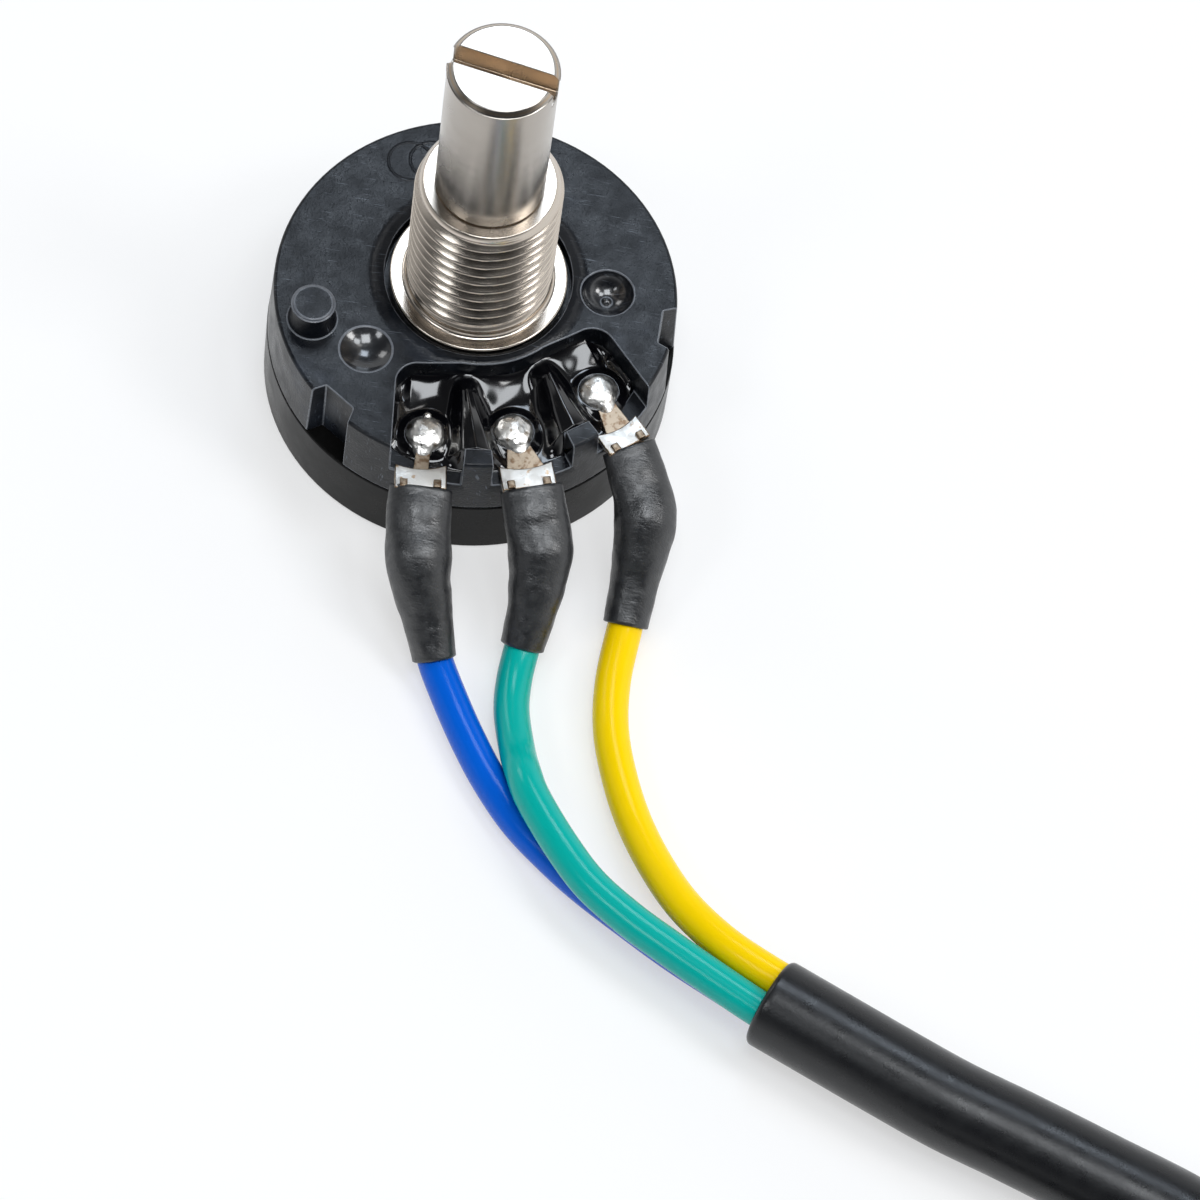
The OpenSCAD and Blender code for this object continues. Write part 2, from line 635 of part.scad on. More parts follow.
// One solder tag: rivet, eyelet, flaring neck and flat head with folded ears, then the tail
module terminal(i) color("#e6dfd2") {
    p = joint_at(i);
    at = heads[i][0];
    turn = heads[i][1];
    w = heads[i][2];
    root = heads[i][3];
    out = [cos(turn), sin(turn)];
    side = [-out[1], out[0]];
    way = unit(at - p);
    across = [-way[1], way[0]];
    translate([p[0], p[1], z_part]) cylinder(d = rivet_d, h = z_recess - z_part + eps);
    translate([p[0], p[1], z_recess]) cylinder(d = rivet_d + 2 * eyelet_rim, h = tag_t);
    translate([p[0], p[1], z_recess]) cylinder(d = neck_w, h = z_head - z_recess + tag_t);
    translate([0, 0, z_head]) linear_extrude(tag_t) polygon([
        p + across * neck_w / 2, p - across * neck_w / 2,
        at + out * (head_hollow + tag_gap) - side * root / 2,
        at + out * (head_hollow + tag_gap) + side * root / 2
    ]);
    translate([at[0], at[1], z_head]) rotate([0, 0, turn]) {
        linear_extrude(tag_t) head_outline(w);
        translate([tag_head_l - eps, 0, 0]) rotate([0, tail_slope, 0]) translate([0, tag_step - w / 2, 0])
            cube([tag_tail_l, w - 2 * tag_step, tag_t]);
        for (m = [0, 1]) mirror([0, m, 0])
            translate([tag_head_l - head_ear[0], w / 2 - tag_step - head_ear[1] / 2, tag_t - eps])
                cube([head_ear[0], head_ear[1], head_ear[2] + eps]);
    }
}

// A drop of solder with its taper onto the neck, and a nub on the left one
module solder_drop(i) {
    p = joint_at(i);
    to_head = heads[i][0] - p;
    translate([p[0], p[1], solder_z]) {
        sphere(d = solder_d, $fn = 48);
        rotate([0, 0, atan2(to_head[1], to_head[0])]) rotate([0, 100, 0])
            cylinder(d1 = solder_d * 0.72, d2 = neck_w, h = taper_l);
        if (i == 0) translate([nub_at[0], nub_at[1], 0]) sphere(nub_r, $fn = 24);
    }
}

module solder(i) color("#dcd8d2") difference() {
    solder_drop(i);
    terminal(i);
}

module potting() color("#0d0e10") difference() {
    union() {
        translate([0, 0, z_recess]) linear_extrude(z_potting - z_recess) potting_outline();
        for (i = [0 : 2]) translate([joint_at(i)[0], joint_at(i)[1], z_potting - eps]) intersection() {
            cylinder(r1 = mound_r, r2 = mound_top_r, h = mound_h);
            translate([-joint_at(i)[0], -joint_at(i)[1], 0]) linear_extrude(2 * mound_h) potting_outline();
        }
    }
    recess_dividers();
    for (i = [0 : 2]) {
        terminal(i);
        solder_drop(i);
    }
}

module potting_outline() intersection() {
    rotate([0, 0, recess_angle]) recess_outline();
    at_body() circle(r = sill_inner_r);
}

module shrink_sleeve(i) color("#1d1f22") sleeve(sleeve_paths[i], sleeve_half_w[i], sleeve_half_h);

// Turned outer shape of the stored coil
module cable_coil() color("#17181a") translate([coil_centre[0], coil_centre[1], coil_z])
    rotate_extrude($fn = 72) hull() {
        translate([coil_r, 0]) circle(d = cable_d, $fn = 16);
        translate([coil_end_r, 0]) circle(d = cable_d, $fn = 16);
    }

// Flat strap round the coil's turns
module coil_tie() color("#101113") translate([coil_centre[0], coil_centre[1], 0]) rotate([0, 0, tie_angle])
    translate([(coil_r + coil_end_r) / 2, 0, coil_z]) {
        length = coil_r - coil_end_r + cable_d;
        height = cable_d + 2 * tie_gap;
        difference() {
            cube([length + 2 * tie_t, tie_w, height + 2 * tie_t], center = true);
            cube([length, 2 * tie_w, height], center = true);
        }
        translate([length / 2 + tie_t + latch[0] / 2 - eps, 0, 0]) cube(latch, center = true);
    }

// Free end of a core: insulation, then the tinned strands
module core_end(i, tint) color(tint) {
    path = core_end_paths[i];
    last = len(path) - 1;
    way = heading(path, last);
    cord(path, core_d);
    cord([path[last] - 0.1 * way, path[last] + 2.5 * way, path[last] + 5 * way], strand_d);
}

module wire_blue() color("#0b52c8") cord(blue_path, core_d);
module wire_green() color("#0b9c83") cord(green_path, core_d);
module wire_yellow() color("#f7c600") cord(yellow_path, core_d);
module cable_jacket() color("#17181a") cord(jacket_path, cable_d, 12);
module cable_end() color("#17181a") cord(cable_end_path, cable_d, 12);

front_housing();
rear_cover();
bushing();
element_wafer();
resistive_track();
collector_ring();
shaft();
thrust_washer();
retaining_clip();
rotor();
wiper();
terminal(0);  // terminal_left
terminal(1);  // terminal_middle
terminal(2);  // terminal_right
solder(0);  // solder_left
solder(1);  // solder_middle
solder(2);  // solder_right
potting();
shrink_sleeve(0);  // sleeve_left
shrink_sleeve(1);  // sleeve_middle
shrink_sleeve(2);  // sleeve_right
wire_blue();
wire_green();
wire_yellow();
cable_jacket();
cable_coil();
cable_end();
coil_tie();
core_end(0, "#0b52c8");  // core_end_blue
core_end(1, "#0b9c83");  // core_end_green
core_end(2, "#f7c600");  // core_end_yellow
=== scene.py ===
"""Panel-mount rotary potentiometer with potted solder tags and a three-core cable.

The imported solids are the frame. Lengths in this file are millimetres in the part's own frame,
and turn into metres where a mesh is made. The shaft turns about Z, and the pot stands on Z = 0.
"""

from __future__ import annotations

import json
import logging
import math
from collections.abc import Sequence
from dataclasses import dataclass, field
from enum import Enum

import bmesh
import bpy
import numpy as np
from mathutils import Matrix, Vector, noise
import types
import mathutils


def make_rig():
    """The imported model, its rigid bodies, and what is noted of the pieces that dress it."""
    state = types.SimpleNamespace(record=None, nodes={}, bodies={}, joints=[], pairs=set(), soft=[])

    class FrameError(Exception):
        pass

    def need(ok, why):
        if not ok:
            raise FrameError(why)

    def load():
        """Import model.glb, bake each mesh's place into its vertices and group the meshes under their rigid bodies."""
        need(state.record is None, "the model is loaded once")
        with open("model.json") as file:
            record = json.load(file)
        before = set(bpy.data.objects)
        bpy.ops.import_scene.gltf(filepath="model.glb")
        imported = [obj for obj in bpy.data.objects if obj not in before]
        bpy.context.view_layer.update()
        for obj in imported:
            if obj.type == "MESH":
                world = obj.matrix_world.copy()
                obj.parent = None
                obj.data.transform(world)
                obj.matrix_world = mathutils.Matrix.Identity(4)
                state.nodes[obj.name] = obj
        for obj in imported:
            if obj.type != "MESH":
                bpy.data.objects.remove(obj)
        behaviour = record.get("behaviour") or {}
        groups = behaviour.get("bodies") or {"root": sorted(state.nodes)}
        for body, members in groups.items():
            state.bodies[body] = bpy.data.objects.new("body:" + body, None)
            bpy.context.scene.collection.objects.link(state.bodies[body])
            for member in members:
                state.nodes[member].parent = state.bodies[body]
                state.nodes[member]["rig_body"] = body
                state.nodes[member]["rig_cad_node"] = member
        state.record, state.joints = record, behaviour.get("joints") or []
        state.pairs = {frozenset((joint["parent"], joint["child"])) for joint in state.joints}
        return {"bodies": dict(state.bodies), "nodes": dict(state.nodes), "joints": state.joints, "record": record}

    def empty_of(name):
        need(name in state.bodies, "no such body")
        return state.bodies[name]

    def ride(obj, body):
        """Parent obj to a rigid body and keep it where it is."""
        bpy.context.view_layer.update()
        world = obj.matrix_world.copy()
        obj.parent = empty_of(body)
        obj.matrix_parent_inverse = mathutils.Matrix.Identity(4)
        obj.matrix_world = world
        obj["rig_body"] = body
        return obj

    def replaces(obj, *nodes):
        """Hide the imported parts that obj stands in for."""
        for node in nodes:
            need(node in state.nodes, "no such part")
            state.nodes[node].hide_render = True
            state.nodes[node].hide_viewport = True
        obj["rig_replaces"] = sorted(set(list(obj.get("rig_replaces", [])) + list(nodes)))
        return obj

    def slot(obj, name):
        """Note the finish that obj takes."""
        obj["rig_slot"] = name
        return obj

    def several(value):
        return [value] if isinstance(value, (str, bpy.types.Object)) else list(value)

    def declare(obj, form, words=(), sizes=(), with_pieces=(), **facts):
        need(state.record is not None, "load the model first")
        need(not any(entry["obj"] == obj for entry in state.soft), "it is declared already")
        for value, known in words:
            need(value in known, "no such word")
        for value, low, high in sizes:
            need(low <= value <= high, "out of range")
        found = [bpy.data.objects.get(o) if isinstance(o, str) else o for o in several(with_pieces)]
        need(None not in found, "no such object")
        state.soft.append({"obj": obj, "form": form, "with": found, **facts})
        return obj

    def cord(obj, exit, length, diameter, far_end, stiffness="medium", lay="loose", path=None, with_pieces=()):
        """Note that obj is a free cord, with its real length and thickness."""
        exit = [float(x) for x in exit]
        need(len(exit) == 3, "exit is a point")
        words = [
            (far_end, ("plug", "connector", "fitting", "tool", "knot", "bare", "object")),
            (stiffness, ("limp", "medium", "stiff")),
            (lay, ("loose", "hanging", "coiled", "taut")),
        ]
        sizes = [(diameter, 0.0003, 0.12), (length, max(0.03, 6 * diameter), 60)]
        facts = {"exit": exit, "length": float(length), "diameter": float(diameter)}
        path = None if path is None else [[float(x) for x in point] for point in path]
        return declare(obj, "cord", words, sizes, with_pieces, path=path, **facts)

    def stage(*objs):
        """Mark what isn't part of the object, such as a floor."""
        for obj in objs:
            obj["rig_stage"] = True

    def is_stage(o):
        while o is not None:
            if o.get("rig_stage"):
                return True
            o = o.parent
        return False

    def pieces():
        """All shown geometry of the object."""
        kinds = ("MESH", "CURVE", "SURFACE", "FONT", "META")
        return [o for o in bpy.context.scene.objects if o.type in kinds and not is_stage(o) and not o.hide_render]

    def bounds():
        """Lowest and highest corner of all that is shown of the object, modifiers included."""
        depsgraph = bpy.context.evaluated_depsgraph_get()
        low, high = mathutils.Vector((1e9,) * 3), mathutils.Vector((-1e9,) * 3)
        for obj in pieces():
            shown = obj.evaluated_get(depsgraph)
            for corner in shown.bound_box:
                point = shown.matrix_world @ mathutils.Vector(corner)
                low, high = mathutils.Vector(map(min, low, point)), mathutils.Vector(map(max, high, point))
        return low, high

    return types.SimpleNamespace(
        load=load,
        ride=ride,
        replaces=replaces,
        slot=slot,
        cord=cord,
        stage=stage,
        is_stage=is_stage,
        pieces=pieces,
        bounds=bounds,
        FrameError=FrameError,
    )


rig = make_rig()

log = logging.getLogger("potentiometer")

MM = 0.001
PER_METRE = 1000.0
UP = (0.0, 0.0, 1.0)

Color = tuple[float, float, float]
Point = tuple[float, float, float]
Circle = tuple[float, float, float]
Triple = tuple[float, float, float]
Piece = bpy.types.Object
Socket = bpy.types.NodeSocket


class Body(Enum):
    """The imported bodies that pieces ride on."""

    HOUSING = "housing"
    SPINDLE = "spindle"


class Side(Enum):
    """The solder tag that a piece belongs to."""

    LEFT = "left"
    MIDDLE = "middle"
    RIGHT = "right"


# Diameters of the cords

CORE_D = 2.1
CABLE_D = 5.3

# Cord routes, the same points as the solids follow

BLUE_ROUTE: list[Point] = [
    (-0.6, -17, 4.9), (-0.2, -18.4, 3.7), (0.5, -19.8, 2.4), (1.1, -21.3, 1.4), (2.3, -23.5, 1.1),
    (3.7, -25.9, 1.05), (5.3, -28.3, 1.05), (7.3, -30.7, 1.05), (9.5, -32.6, 1.05), (11.7, -34.2, 1.05),
    (14.5, -35.9, 1.05), (17.3, -37.5, 1.05), (20.2, -39, 1.15), (23, -40.4, 1.3), (24.6, -41.1, 1.4),
]
GREEN_ROUTE: list[Point] = [
    (6.2, -15.7, 4.5), (6.25, -16.6, 3.7), (6.2, -18, 2.5), (6, -19.6, 1.5), (5.85, -21.7, 1.15),
    (6, -23.9, 1.3), (6.7, -26.7, 1.9), (7.3, -28.6, 2.75), (8.05, -30.2, 3.05), (9.9, -32.8, 3.25),
    (12, -35.1, 3.25), (14.5, -36.9, 3.25), (16.9, -38.3, 3.3), (19.5, -39.7, 3.3), (22.2, -41.1, 3.3),
    (24, -41.9, 3.3),
]
YELLOW_ROUTE: list[Point] = [
    (11.85, -12.1, 4.7), (11.9, -13.3, 3.8), (11.8, -15.1, 2.5), (11.7, -17.1, 1.45), (11.5, -20.6, 1.1),
    (11.8, -23.8, 1.1), (12.7, -26.8, 1.1), (14, -29.8, 1.3), (15.7, -32.7, 1.8), (17.6, -35.2, 2.4),
    (20.1, -37.4, 3), (22.8, -38.95, 3.3), (24.7, -39.75, 3.3),
]
JACKET_ROUTE: list[Point] = [
    (23, -40.4, 2.75), (26.5, -41.9, 2.75), (30, -43.4, 2.75), (33.9, -45, 2.75), (37.8, -46.3, 2.75),
    (42.8, -48.1, 2.8), (47.7, -49.9, 2.85), (52.5, -52.3, 2.95), (56.9, -55.5, 3.05), (61.1, -59.6, 3.1),
    (65.9, -65.4, 3.15),
]
FREE_END_ROUTE: list[Point] = [
    (57.8, -72.7, 3.15), (60.5, -77, 3.1), (61.5, -81.9, 2.95), (60.6, -86.8, 2.8), (58, -91, 2.75),
    (54, -94.1, 2.75),
]
CORE_END_ROUTES: list[list[Point]] = [
    [(54.5, -93.7, 1.45), (51.1, -96, 1.2), (47.2, -97.2, 1.05), (43.1, -97.5, 1.05)],
    [(55.15, -94.55, 3.3), (52, -97.5, 2.6), (48, -99.9, 1.5), (43.6, -100.9, 1.05)],
    [(53.85, -92.9, 3.3), (50.2, -94.1, 2.6), (46.4, -94.5, 1.5), (42.5, -94.2, 1.05)],
]


# Shader building


class TreeKit:
    """Adds nodes to one shader tree in short steps."""

    def __init__(self, tree: bpy.types.NodeTree) -> None:
        """Starts on a tree.

        Args:
            tree: The tree that gets the nodes.
        """
        self.tree = tree

    def node(self, kind: str, **values: object) -> bpy.types.Node:
        """Adds a node.

        Args:
            kind: The node's type.
            **values: Properties of the node.

        Returns:
            The new node.
        """
        made = self.tree.nodes.new(kind)
        for key, value in values.items():
            setattr(made, key, value)
        return made

    def link(self, source: Socket, target: Socket) -> None:
        """Joins an output to an input."""
        self.tree.links.new(source, target)

    def band(self, value: Socket, low: float, high: float, first: float, last: float) -> Socket:
        """Maps a range of values smoothly to another.

        Args:
            value: The socket to map.
            low: Start of the range read.
            high: End of the range read.
            first: Result at its start.
            last: Result at its end.

        Returns:
            The mapped socket.
        """
        mapper = self.node("ShaderNodeMapRange", interpolation_type="SMOOTHSTEP")
        for key, number in zip(("From Min", "From Max", "To Min", "To Max"), (low, high, first, last)):
            mapper.inputs[key].default_value = number
        self.link(value, mapper.inputs["Value"])
        return mapper.outputs["Result"]

    def math(self, operation: str, *values: Socket | float) -> Socket:
        """Adds a Math node.

        Args:
            operation: The node's operation.
            *values: A socket or a number for each of its inputs.

        Returns:
            The result's socket.
        """
        made = self.node("ShaderNodeMath", operation=operation)
        for target, value in zip(made.inputs, values):
            if isinstance(value, (int, float)):
                target.default_value = value
            else:
                self.link(value, target)
        return made.outputs[0]


class NodeKit(TreeKit):
    """Builds one material's node tree in short steps."""

    def __init__(self, name: str) -> None:
        """Starts a material whose tree holds one Principled shader.

        Args:
            name: The material's name.
        """
        self.material = bpy.data.materials.new(name)
        self.material.use_nodes = True
        super().__init__(self.material.node_tree)
        self.shader = self.tree.nodes["Principled BSDF"]
        self.place = self.node("ShaderNodeTexCoord").outputs["Object"]

    def mapped(self, scale: Triple = (PER_METRE, PER_METRE, PER_METRE), turn: float = 0.0) -> Socket:
        """Places a pattern on the piece.

        Args:
            scale: Features per metre along each axis, where 1000 leaves millimetres.
            turn: Rotation about Z in degrees.

        Returns:
            The socket with the placed coordinates.
        """
        mapping = self.node("ShaderNodeMapping")
        mapping.inputs["Rotation"].default_value = (0.0, 0.0, math.radians(turn))
        mapping.inputs["Scale"].default_value = scale
        self.link(self.place, mapping.inputs["Vector"])
        return mapping.outputs["Vector"]

    def away(self, x: float, y: float) -> Socket:
        """Distance from an upright axis in millimetres.

        Args:
            x: The axis's place.
            y: The axis's place.

        Returns:
            The socket with the distance.
        """
        flat = self.node("ShaderNodeVectorMath", operation="MULTIPLY")
        flat.inputs[1].default_value = (PER_METRE, PER_METRE, 0.0)
        self.link(self.place, flat.inputs[0])
        offset = self.node("ShaderNodeVectorMath", operation="DISTANCE")
        self.link(flat.outputs[0], offset.inputs[0])
        offset.inputs[1].default_value = (x, y, 0.0)
        return offset.outputs["Value"]

    def noise(self, place: Socket, scale: float, detail: float = 3.0) -> Socket:
        """Adds a noise pattern.

        Args:
            place: The coordinates it reads.
            scale: Features per unit of those coordinates.
            detail: How many finer layers it has.

        Returns:
            The socket with values round 0.5.
        """
        pattern = self.node("ShaderNodeTexNoise")
        pattern.inputs["Scale"].default_value = scale
        pattern.inputs["Detail"].default_value = detail
        self.link(place, pattern.inputs["Vector"])
        return pattern.outputs["Fac"]

    def mix(self, factor: Socket, first: Color | Socket, second: Color) -> Socket:
        """Mixes two colours, which the node has as inputs 6 and 7 and output 2.

        Args:
            factor: Share of the second colour.
            first: First colour, or a socket.
            second: Second colour.

        Returns:
            The mixed colour's socket.
        """
        made = self.node("ShaderNodeMix", data_type="RGBA")
        start, end = made.inputs[6:8]
        self.link(factor, made.inputs["Factor"])
        if isinstance(first, tuple):
            start.default_value = (*first, 1.0)
        else:
            self.link(first, start)
        end.default_value = (*second, 1.0)
        return made.outputs[2]

    def bump(self, height: Socket, depth_mm: float) -> None:
        """Adds relief on top of what the shader's normal has already.

        Args:
            height: The pattern, from 0 to 1.
            depth_mm: Its depth.
        """
        relief = self.node("ShaderNodeBump")
        relief.inputs["Strength"].default_value = 1.0
        relief.inputs["Distance"].default_value = depth_mm * MM
        self.link(height, relief.inputs["Height"])
        socket = self.shader.inputs["Normal"]
        if socket.is_linked:
            self.link(socket.links[0].from_socket, relief.inputs["Normal"])
        self.link(relief.outputs["Normal"], socket)


@dataclass(frozen=True)
class Grain:
    """Fine relief over a whole surface.

    Attributes:
        size: Size of one grain in millimetres.
        depth: Depth in millimetres.
        detail: Layers of finer grain.
    """

    size: float
    depth: float
    detail: float = 2.0


@dataclass(frozen=True)
class Mottle:
    """Patches of a second colour.

    Attributes:
        color: The second colour.
        size: Size of a patch in millimetres.
        low: Pattern value where the patches start.
        high: Pattern value where they are full.
    """

    color: Color
    size: float
    low: float = 0.5
    high: float = 0.7


# Patterns that every finish shares: scales, and the pattern values between which a mark fades in

MOTTLE_DETAIL = 5.0
SCRATCH_SCALE = (420.0, 19000.0, 1000.0)
SCRATCH_BAND = (0.68, 0.74)
BREAK_SCALE = (900.0, 800.0, 800.0)
BREAK_STEP = 70
BREAK_BAND = (0.52, 0.66)
SCRATCH_SHARE = 0.7
WEAR_DETAIL = 4.0
WEAR_BAND = (0.3, 0.7)
LATHE_STRETCH = 40.0
LATHE_RINGS = ((9.0, 1.0), (31.0, 0.6))


@dataclass(frozen=True)
class Finish:
    """How one surface looks.

    Attributes:
        name: The material's name.
        slot: The record's material slot.
        color: Base colour, linear.
        roughness: Micro-roughness.
        metallic: 1 on metal.
        ior: Index of refraction.
        spread: How far the roughness varies.
        spread_size: Size of its patches in millimetres.
        grains: Layers of relief.
        mottle: Patches of another colour.
        scratches: Directions of fine scratches, in degrees.
        scratch_color: Colour in the scratches.
        turned: Depth in millimetres of the rings that turning leaves, or 0.
        anisotropy: Stretch of highlights on turned metal.
    """

    name: str
    slot: str
    color: Color
    roughness: float
    metallic: float = 0.0
    ior: float = 1.5
    spread: float = 0.0
    spread_size: float = 2.0
    grains: tuple[Grain, ...] = ()
    mottle: Mottle | None = None
    scratches: tuple[float, ...] = ()
    scratch_color: Color = (0.2, 0.22, 0.25)
    turned: float = 0.0
    anisotropy: float = 0.0

    def build(self) -> bpy.types.Material:
        """Builds the material once and returns it afterwards.

        Returns:
            The material.
        """
        label = self.name + "_finish"
        ready = bpy.data.materials.get(label)
        if ready is not None:
            return ready
        kit = NodeKit(label)
        inputs = kit.shader.inputs
        inputs["Base Color"].default_value = (*self.color, 1.0)
        inputs["Metallic"].default_value = self.metallic
        inputs["Roughness"].default_value = self.roughness
        inputs["IOR"].default_value = self.ior
        self._paint(kit)
        self._roughen(kit)
        if self.turned > 0:
            self._turn(kit)
        for grain in self.grains:
            kit.bump(kit.noise(kit.mapped(), 1.0 / grain.size, grain.detail), grain.depth)
        if self.anisotropy > 0:
            tangent = kit.node("ShaderNodeTangent", direction_type="RADIAL", axis="Z")
            inputs["Anisotropic"].default_value = self.anisotropy
            kit.link(tangent.outputs["Tangent"], inputs["Tangent"])
        self.extend(kit)
        return kit.material

    def extend(self, kit: NodeKit) -> None:
        """Adds what only one finish has. The plain finish adds nothing."""

    def _paint(self, kit: NodeKit) -> None:
        """Links the base colour where it varies.

        Args:
            kit: The material being built.
        """
        color: Color | Socket = self.color
        if self.mottle is not None:
            pattern = kit.noise(kit.mapped(), 1.0 / self.mottle.size, MOTTLE_DETAIL)
            amount = kit.band(pattern, self.mottle.low, self.mottle.high, 0.0, 1.0)
            color = kit.mix(amount, color, self.mottle.color)
        for index, angle in enumerate(self.scratches):
            lines = kit.noise(kit.mapped(SCRATCH_SCALE, angle), 1.0, 1.0)
            stretch, *rest = BREAK_SCALE
            breaks = kit.noise(kit.mapped((stretch + BREAK_STEP * index, *rest), -angle), 1.0, 2.0)
            thin = kit.band(lines, *SCRATCH_BAND, 0.0, 1.0)
            worn = kit.band(breaks, *BREAK_BAND, 0.0, SCRATCH_SHARE)
            color = kit.mix(kit.math("MULTIPLY", thin, worn), color, self.scratch_color)
        if not isinstance(color, tuple):
            kit.link(color, kit.shader.inputs["Base Color"])

    def _roughen(self, kit: NodeKit) -> None:
        """Links the roughness where it varies.

        Args:
            kit: The material being built.
        """
        if self.spread > 0:
            pattern = kit.noise(kit.mapped(), 1.0 / self.spread_size, WEAR_DETAIL)
            low, high = self.roughness - self.spread, self.roughness + self.spread
            kit.link(kit.band(pattern, *WEAR_BAND, low, high), kit.shader.inputs["Roughness"])

    def _turn(self, kit: NodeKit) -> None:
        """Adds the fine rings that a lathe leaves.

        Args:
            kit: The material being built.
        """
        for rate, share in LATHE_RINGS:
            scale = (LATHE_STRETCH, LATHE_STRETCH, PER_METRE * rate)
            kit.bump(kit.noise(kit.mapped(scale), 1.0, 2.0), self.turned * share)


@dataclass(frozen=True)
class MoldedFace(Finish):
    """Satin moulded plastic with ejector pin marks on its front face and polished dimples.

    Attributes:
        marks: Place and radius of each ring that an ejector pin left.
        mark_width: How far each side of its line a ring fades out.
        mark_height: How high a ring stands.
        polished: Place and radius of each dimple that the mould's polished pins made.
        gloss_edge: How far inside a dimple's edge its gloss starts to fade.
        gloss_roughness: Roughness of the polished plastic.
        gloss_ior: Index of refraction of the polished plastic.
    """

    marks: tuple[Circle, ...] = ((-5.1, 7.1, 1.3), (-3.9, 7.4, 1.25))
    mark_width: float = 0.12
    mark_height: float = 0.025
    polished: tuple[Circle, ...] = ((-5.7, -6.1, 1.5), (7.6, 0.3, 1.5))
    gloss_edge: float = 0.1
    gloss_roughness: float = 0.13
    gloss_ior: float = 1.75

    def extend(self, kit: NodeKit) -> None:
        """Adds one raised ring for each mark and a gloss inside each dimple.

        Args:
            kit: The material being built.
        """
        for x, y, radius in self.marks:
            off = kit.math("ABSOLUTE", kit.math("SUBTRACT", kit.away(x, y), radius))
            kit.bump(kit.band(off, 0.0, self.mark_width, 1.0, 0.0), self.mark_height)
        gloss = [
            kit.band(kit.away(x, y), radius - self.gloss_edge, radius, 1.0, 0.0)
            for x, y, radius in self.polished
        ]
        inputs = kit.shader.inputs
        kit.link(kit.math("MAXIMUM", *gloss), inputs["Coat Weight"])
        inputs["Coat Roughness"].default_value = self.gloss_roughness
        inputs["Coat IOR"].default_value = self.gloss_ior


@dataclass(frozen=True)
class SlottedShaft(Finish):
    """Turned steel with a browner colour inside its screwdriver slot.

    Attributes:
        slot_color: Colour of the milled slot.
        inside_radius: Radius inside which the slot's colour shows.
        inside_edge: Width over which it fades in.
        slot_top: Height below which the slot's colour shows.
        slot_edge: Height over which it fades in.
    """

    slot_color: Color = (0.48, 0.385, 0.29)
    inside_radius: float = 3.08
    inside_edge: float = 0.05
    slot_top: float = 31.2
    slot_edge: float = 0.1

    def extend(self, kit: NodeKit) -> None:
        """Colours what lies inside the shaft's outline and below its end face.

        Args:
            kit: The material being built.
        """
        axes = kit.node("ShaderNodeSeparateXYZ")
        kit.link(kit.mapped(), axes.inputs[0])
        radius, top = self.inside_radius, self.slot_top
        inside = kit.band(kit.away(0.0, 0.0), radius - self.inside_edge, radius, 1.0, 0.0)
        low = kit.band(axes.outputs["Z"], top, top + self.slot_edge, 1.0, 0.0)
        color = kit.mix(kit.math("MULTIPLY", inside, low), self.color, self.slot_color)
        kit.link(color, kit.shader.inputs["Base Color"])


@dataclass(frozen=True)
class WrinkledSkin(Finish):
    """Shrunk sleeve skin with fine slanting wrinkles.

    Attributes:
        wrinkle_depth: Depth of a wrinkle in millimetres.
        wrinkle_sets: Slant in degrees and scale of each set of wrinkles.
    """

    wrinkle_depth: float = 0.014
    wrinkle_sets: tuple[tuple[float, Triple], ...] = (
        (38.0, (900.0, 5200.0, 2600.0)), (-24.0, (1400.0, 7600.0, 3000.0)),
    )

    def extend(self, kit: NodeKit) -> None:
        """Adds the crossing sets of stretched wrinkles.

        Args:
            kit: The material being built.
        """
        for turn, scale in self.wrinkle_sets:
            kit.bump(kit.noise(kit.mapped(scale, turn), 1.0), self.wrinkle_depth)


HOUSING_PLASTIC = MoldedFace(
    "housing_plastic", "housing_plastic", (0.003, 0.0042, 0.0068), 0.33, ior=1.39,
    spread=0.06, spread_size=1.2,
    grains=(Grain(0.14, 0.02), Grain(0.4, 0.014), Grain(3.5, 0.03)),
    mottle=Mottle((0.016, 0.02, 0.028), 5.0, 0.58, 0.7),
    scratches=(12.0, 57.0, 101.0, 148.0), scratch_color=(0.14, 0.16, 0.19),
)
# Lighter grey on the front housing's rounded edges: a painted highlight along its moulded edges.
PAINTED_EDGE_HIGHLIGHT = Finish(
    "housing_edge", "housing_plastic", (0.13, 0.14, 0.158), 0.28, ior=1.5, spread=0.1, spread_size=0.6,
    grains=(Grain(0.3, 0.01),),
)
COVER_PLASTIC = Finish(
    "cover_plastic", "cover_plastic", (0.004, 0.0038, 0.0035), 0.3, ior=1.21, spread=0.05,
    grains=(Grain(0.3, 0.003), Grain(2.5, 0.01)),
)
NICKEL = Finish(
    "bushing_nickel", "bushing_metal", (0.6, 0.535, 0.465), 0.22, metallic=1.0, turned=0.0015, spread=0.05,
)
TURNED_STEEL = SlottedShaft(
    "turned_steel", "shaft_metal", (0.42, 0.385, 0.345), 0.24, metallic=1.0, turned=0.004, anisotropy=0.5,
    spread=0.05, spread_size=3.0,
)
TAG_TIN = Finish(
    "tag_tin", "tag_tin", (0.75, 0.73, 0.69), 0.42, metallic=1.0, spread=0.08, spread_size=0.6,
    grains=(Grain(0.3, 0.02, 4.0),), mottle=Mottle((0.5, 0.36, 0.24), 0.5, 0.6, 0.7),
)
TAG_BRONZE = Finish(
    "tag_bronze", "tag_tin", (0.3, 0.235, 0.17), 0.33, metallic=1.0,
    mottle=Mottle((0.16, 0.1, 0.06), 0.3, 0.45, 0.65), grains=(Grain(0.3, 0.02),),
)
SOLDER = Finish(
    "solder", "solder", (0.92, 0.9, 0.86), 0.34, metallic=1.0, spread=0.08, spread_size=0.5,
    mottle=Mottle((0.36, 0.3, 0.24), 0.6, 0.56, 0.68), grains=(Grain(0.7, 0.02, 3.0),),
)
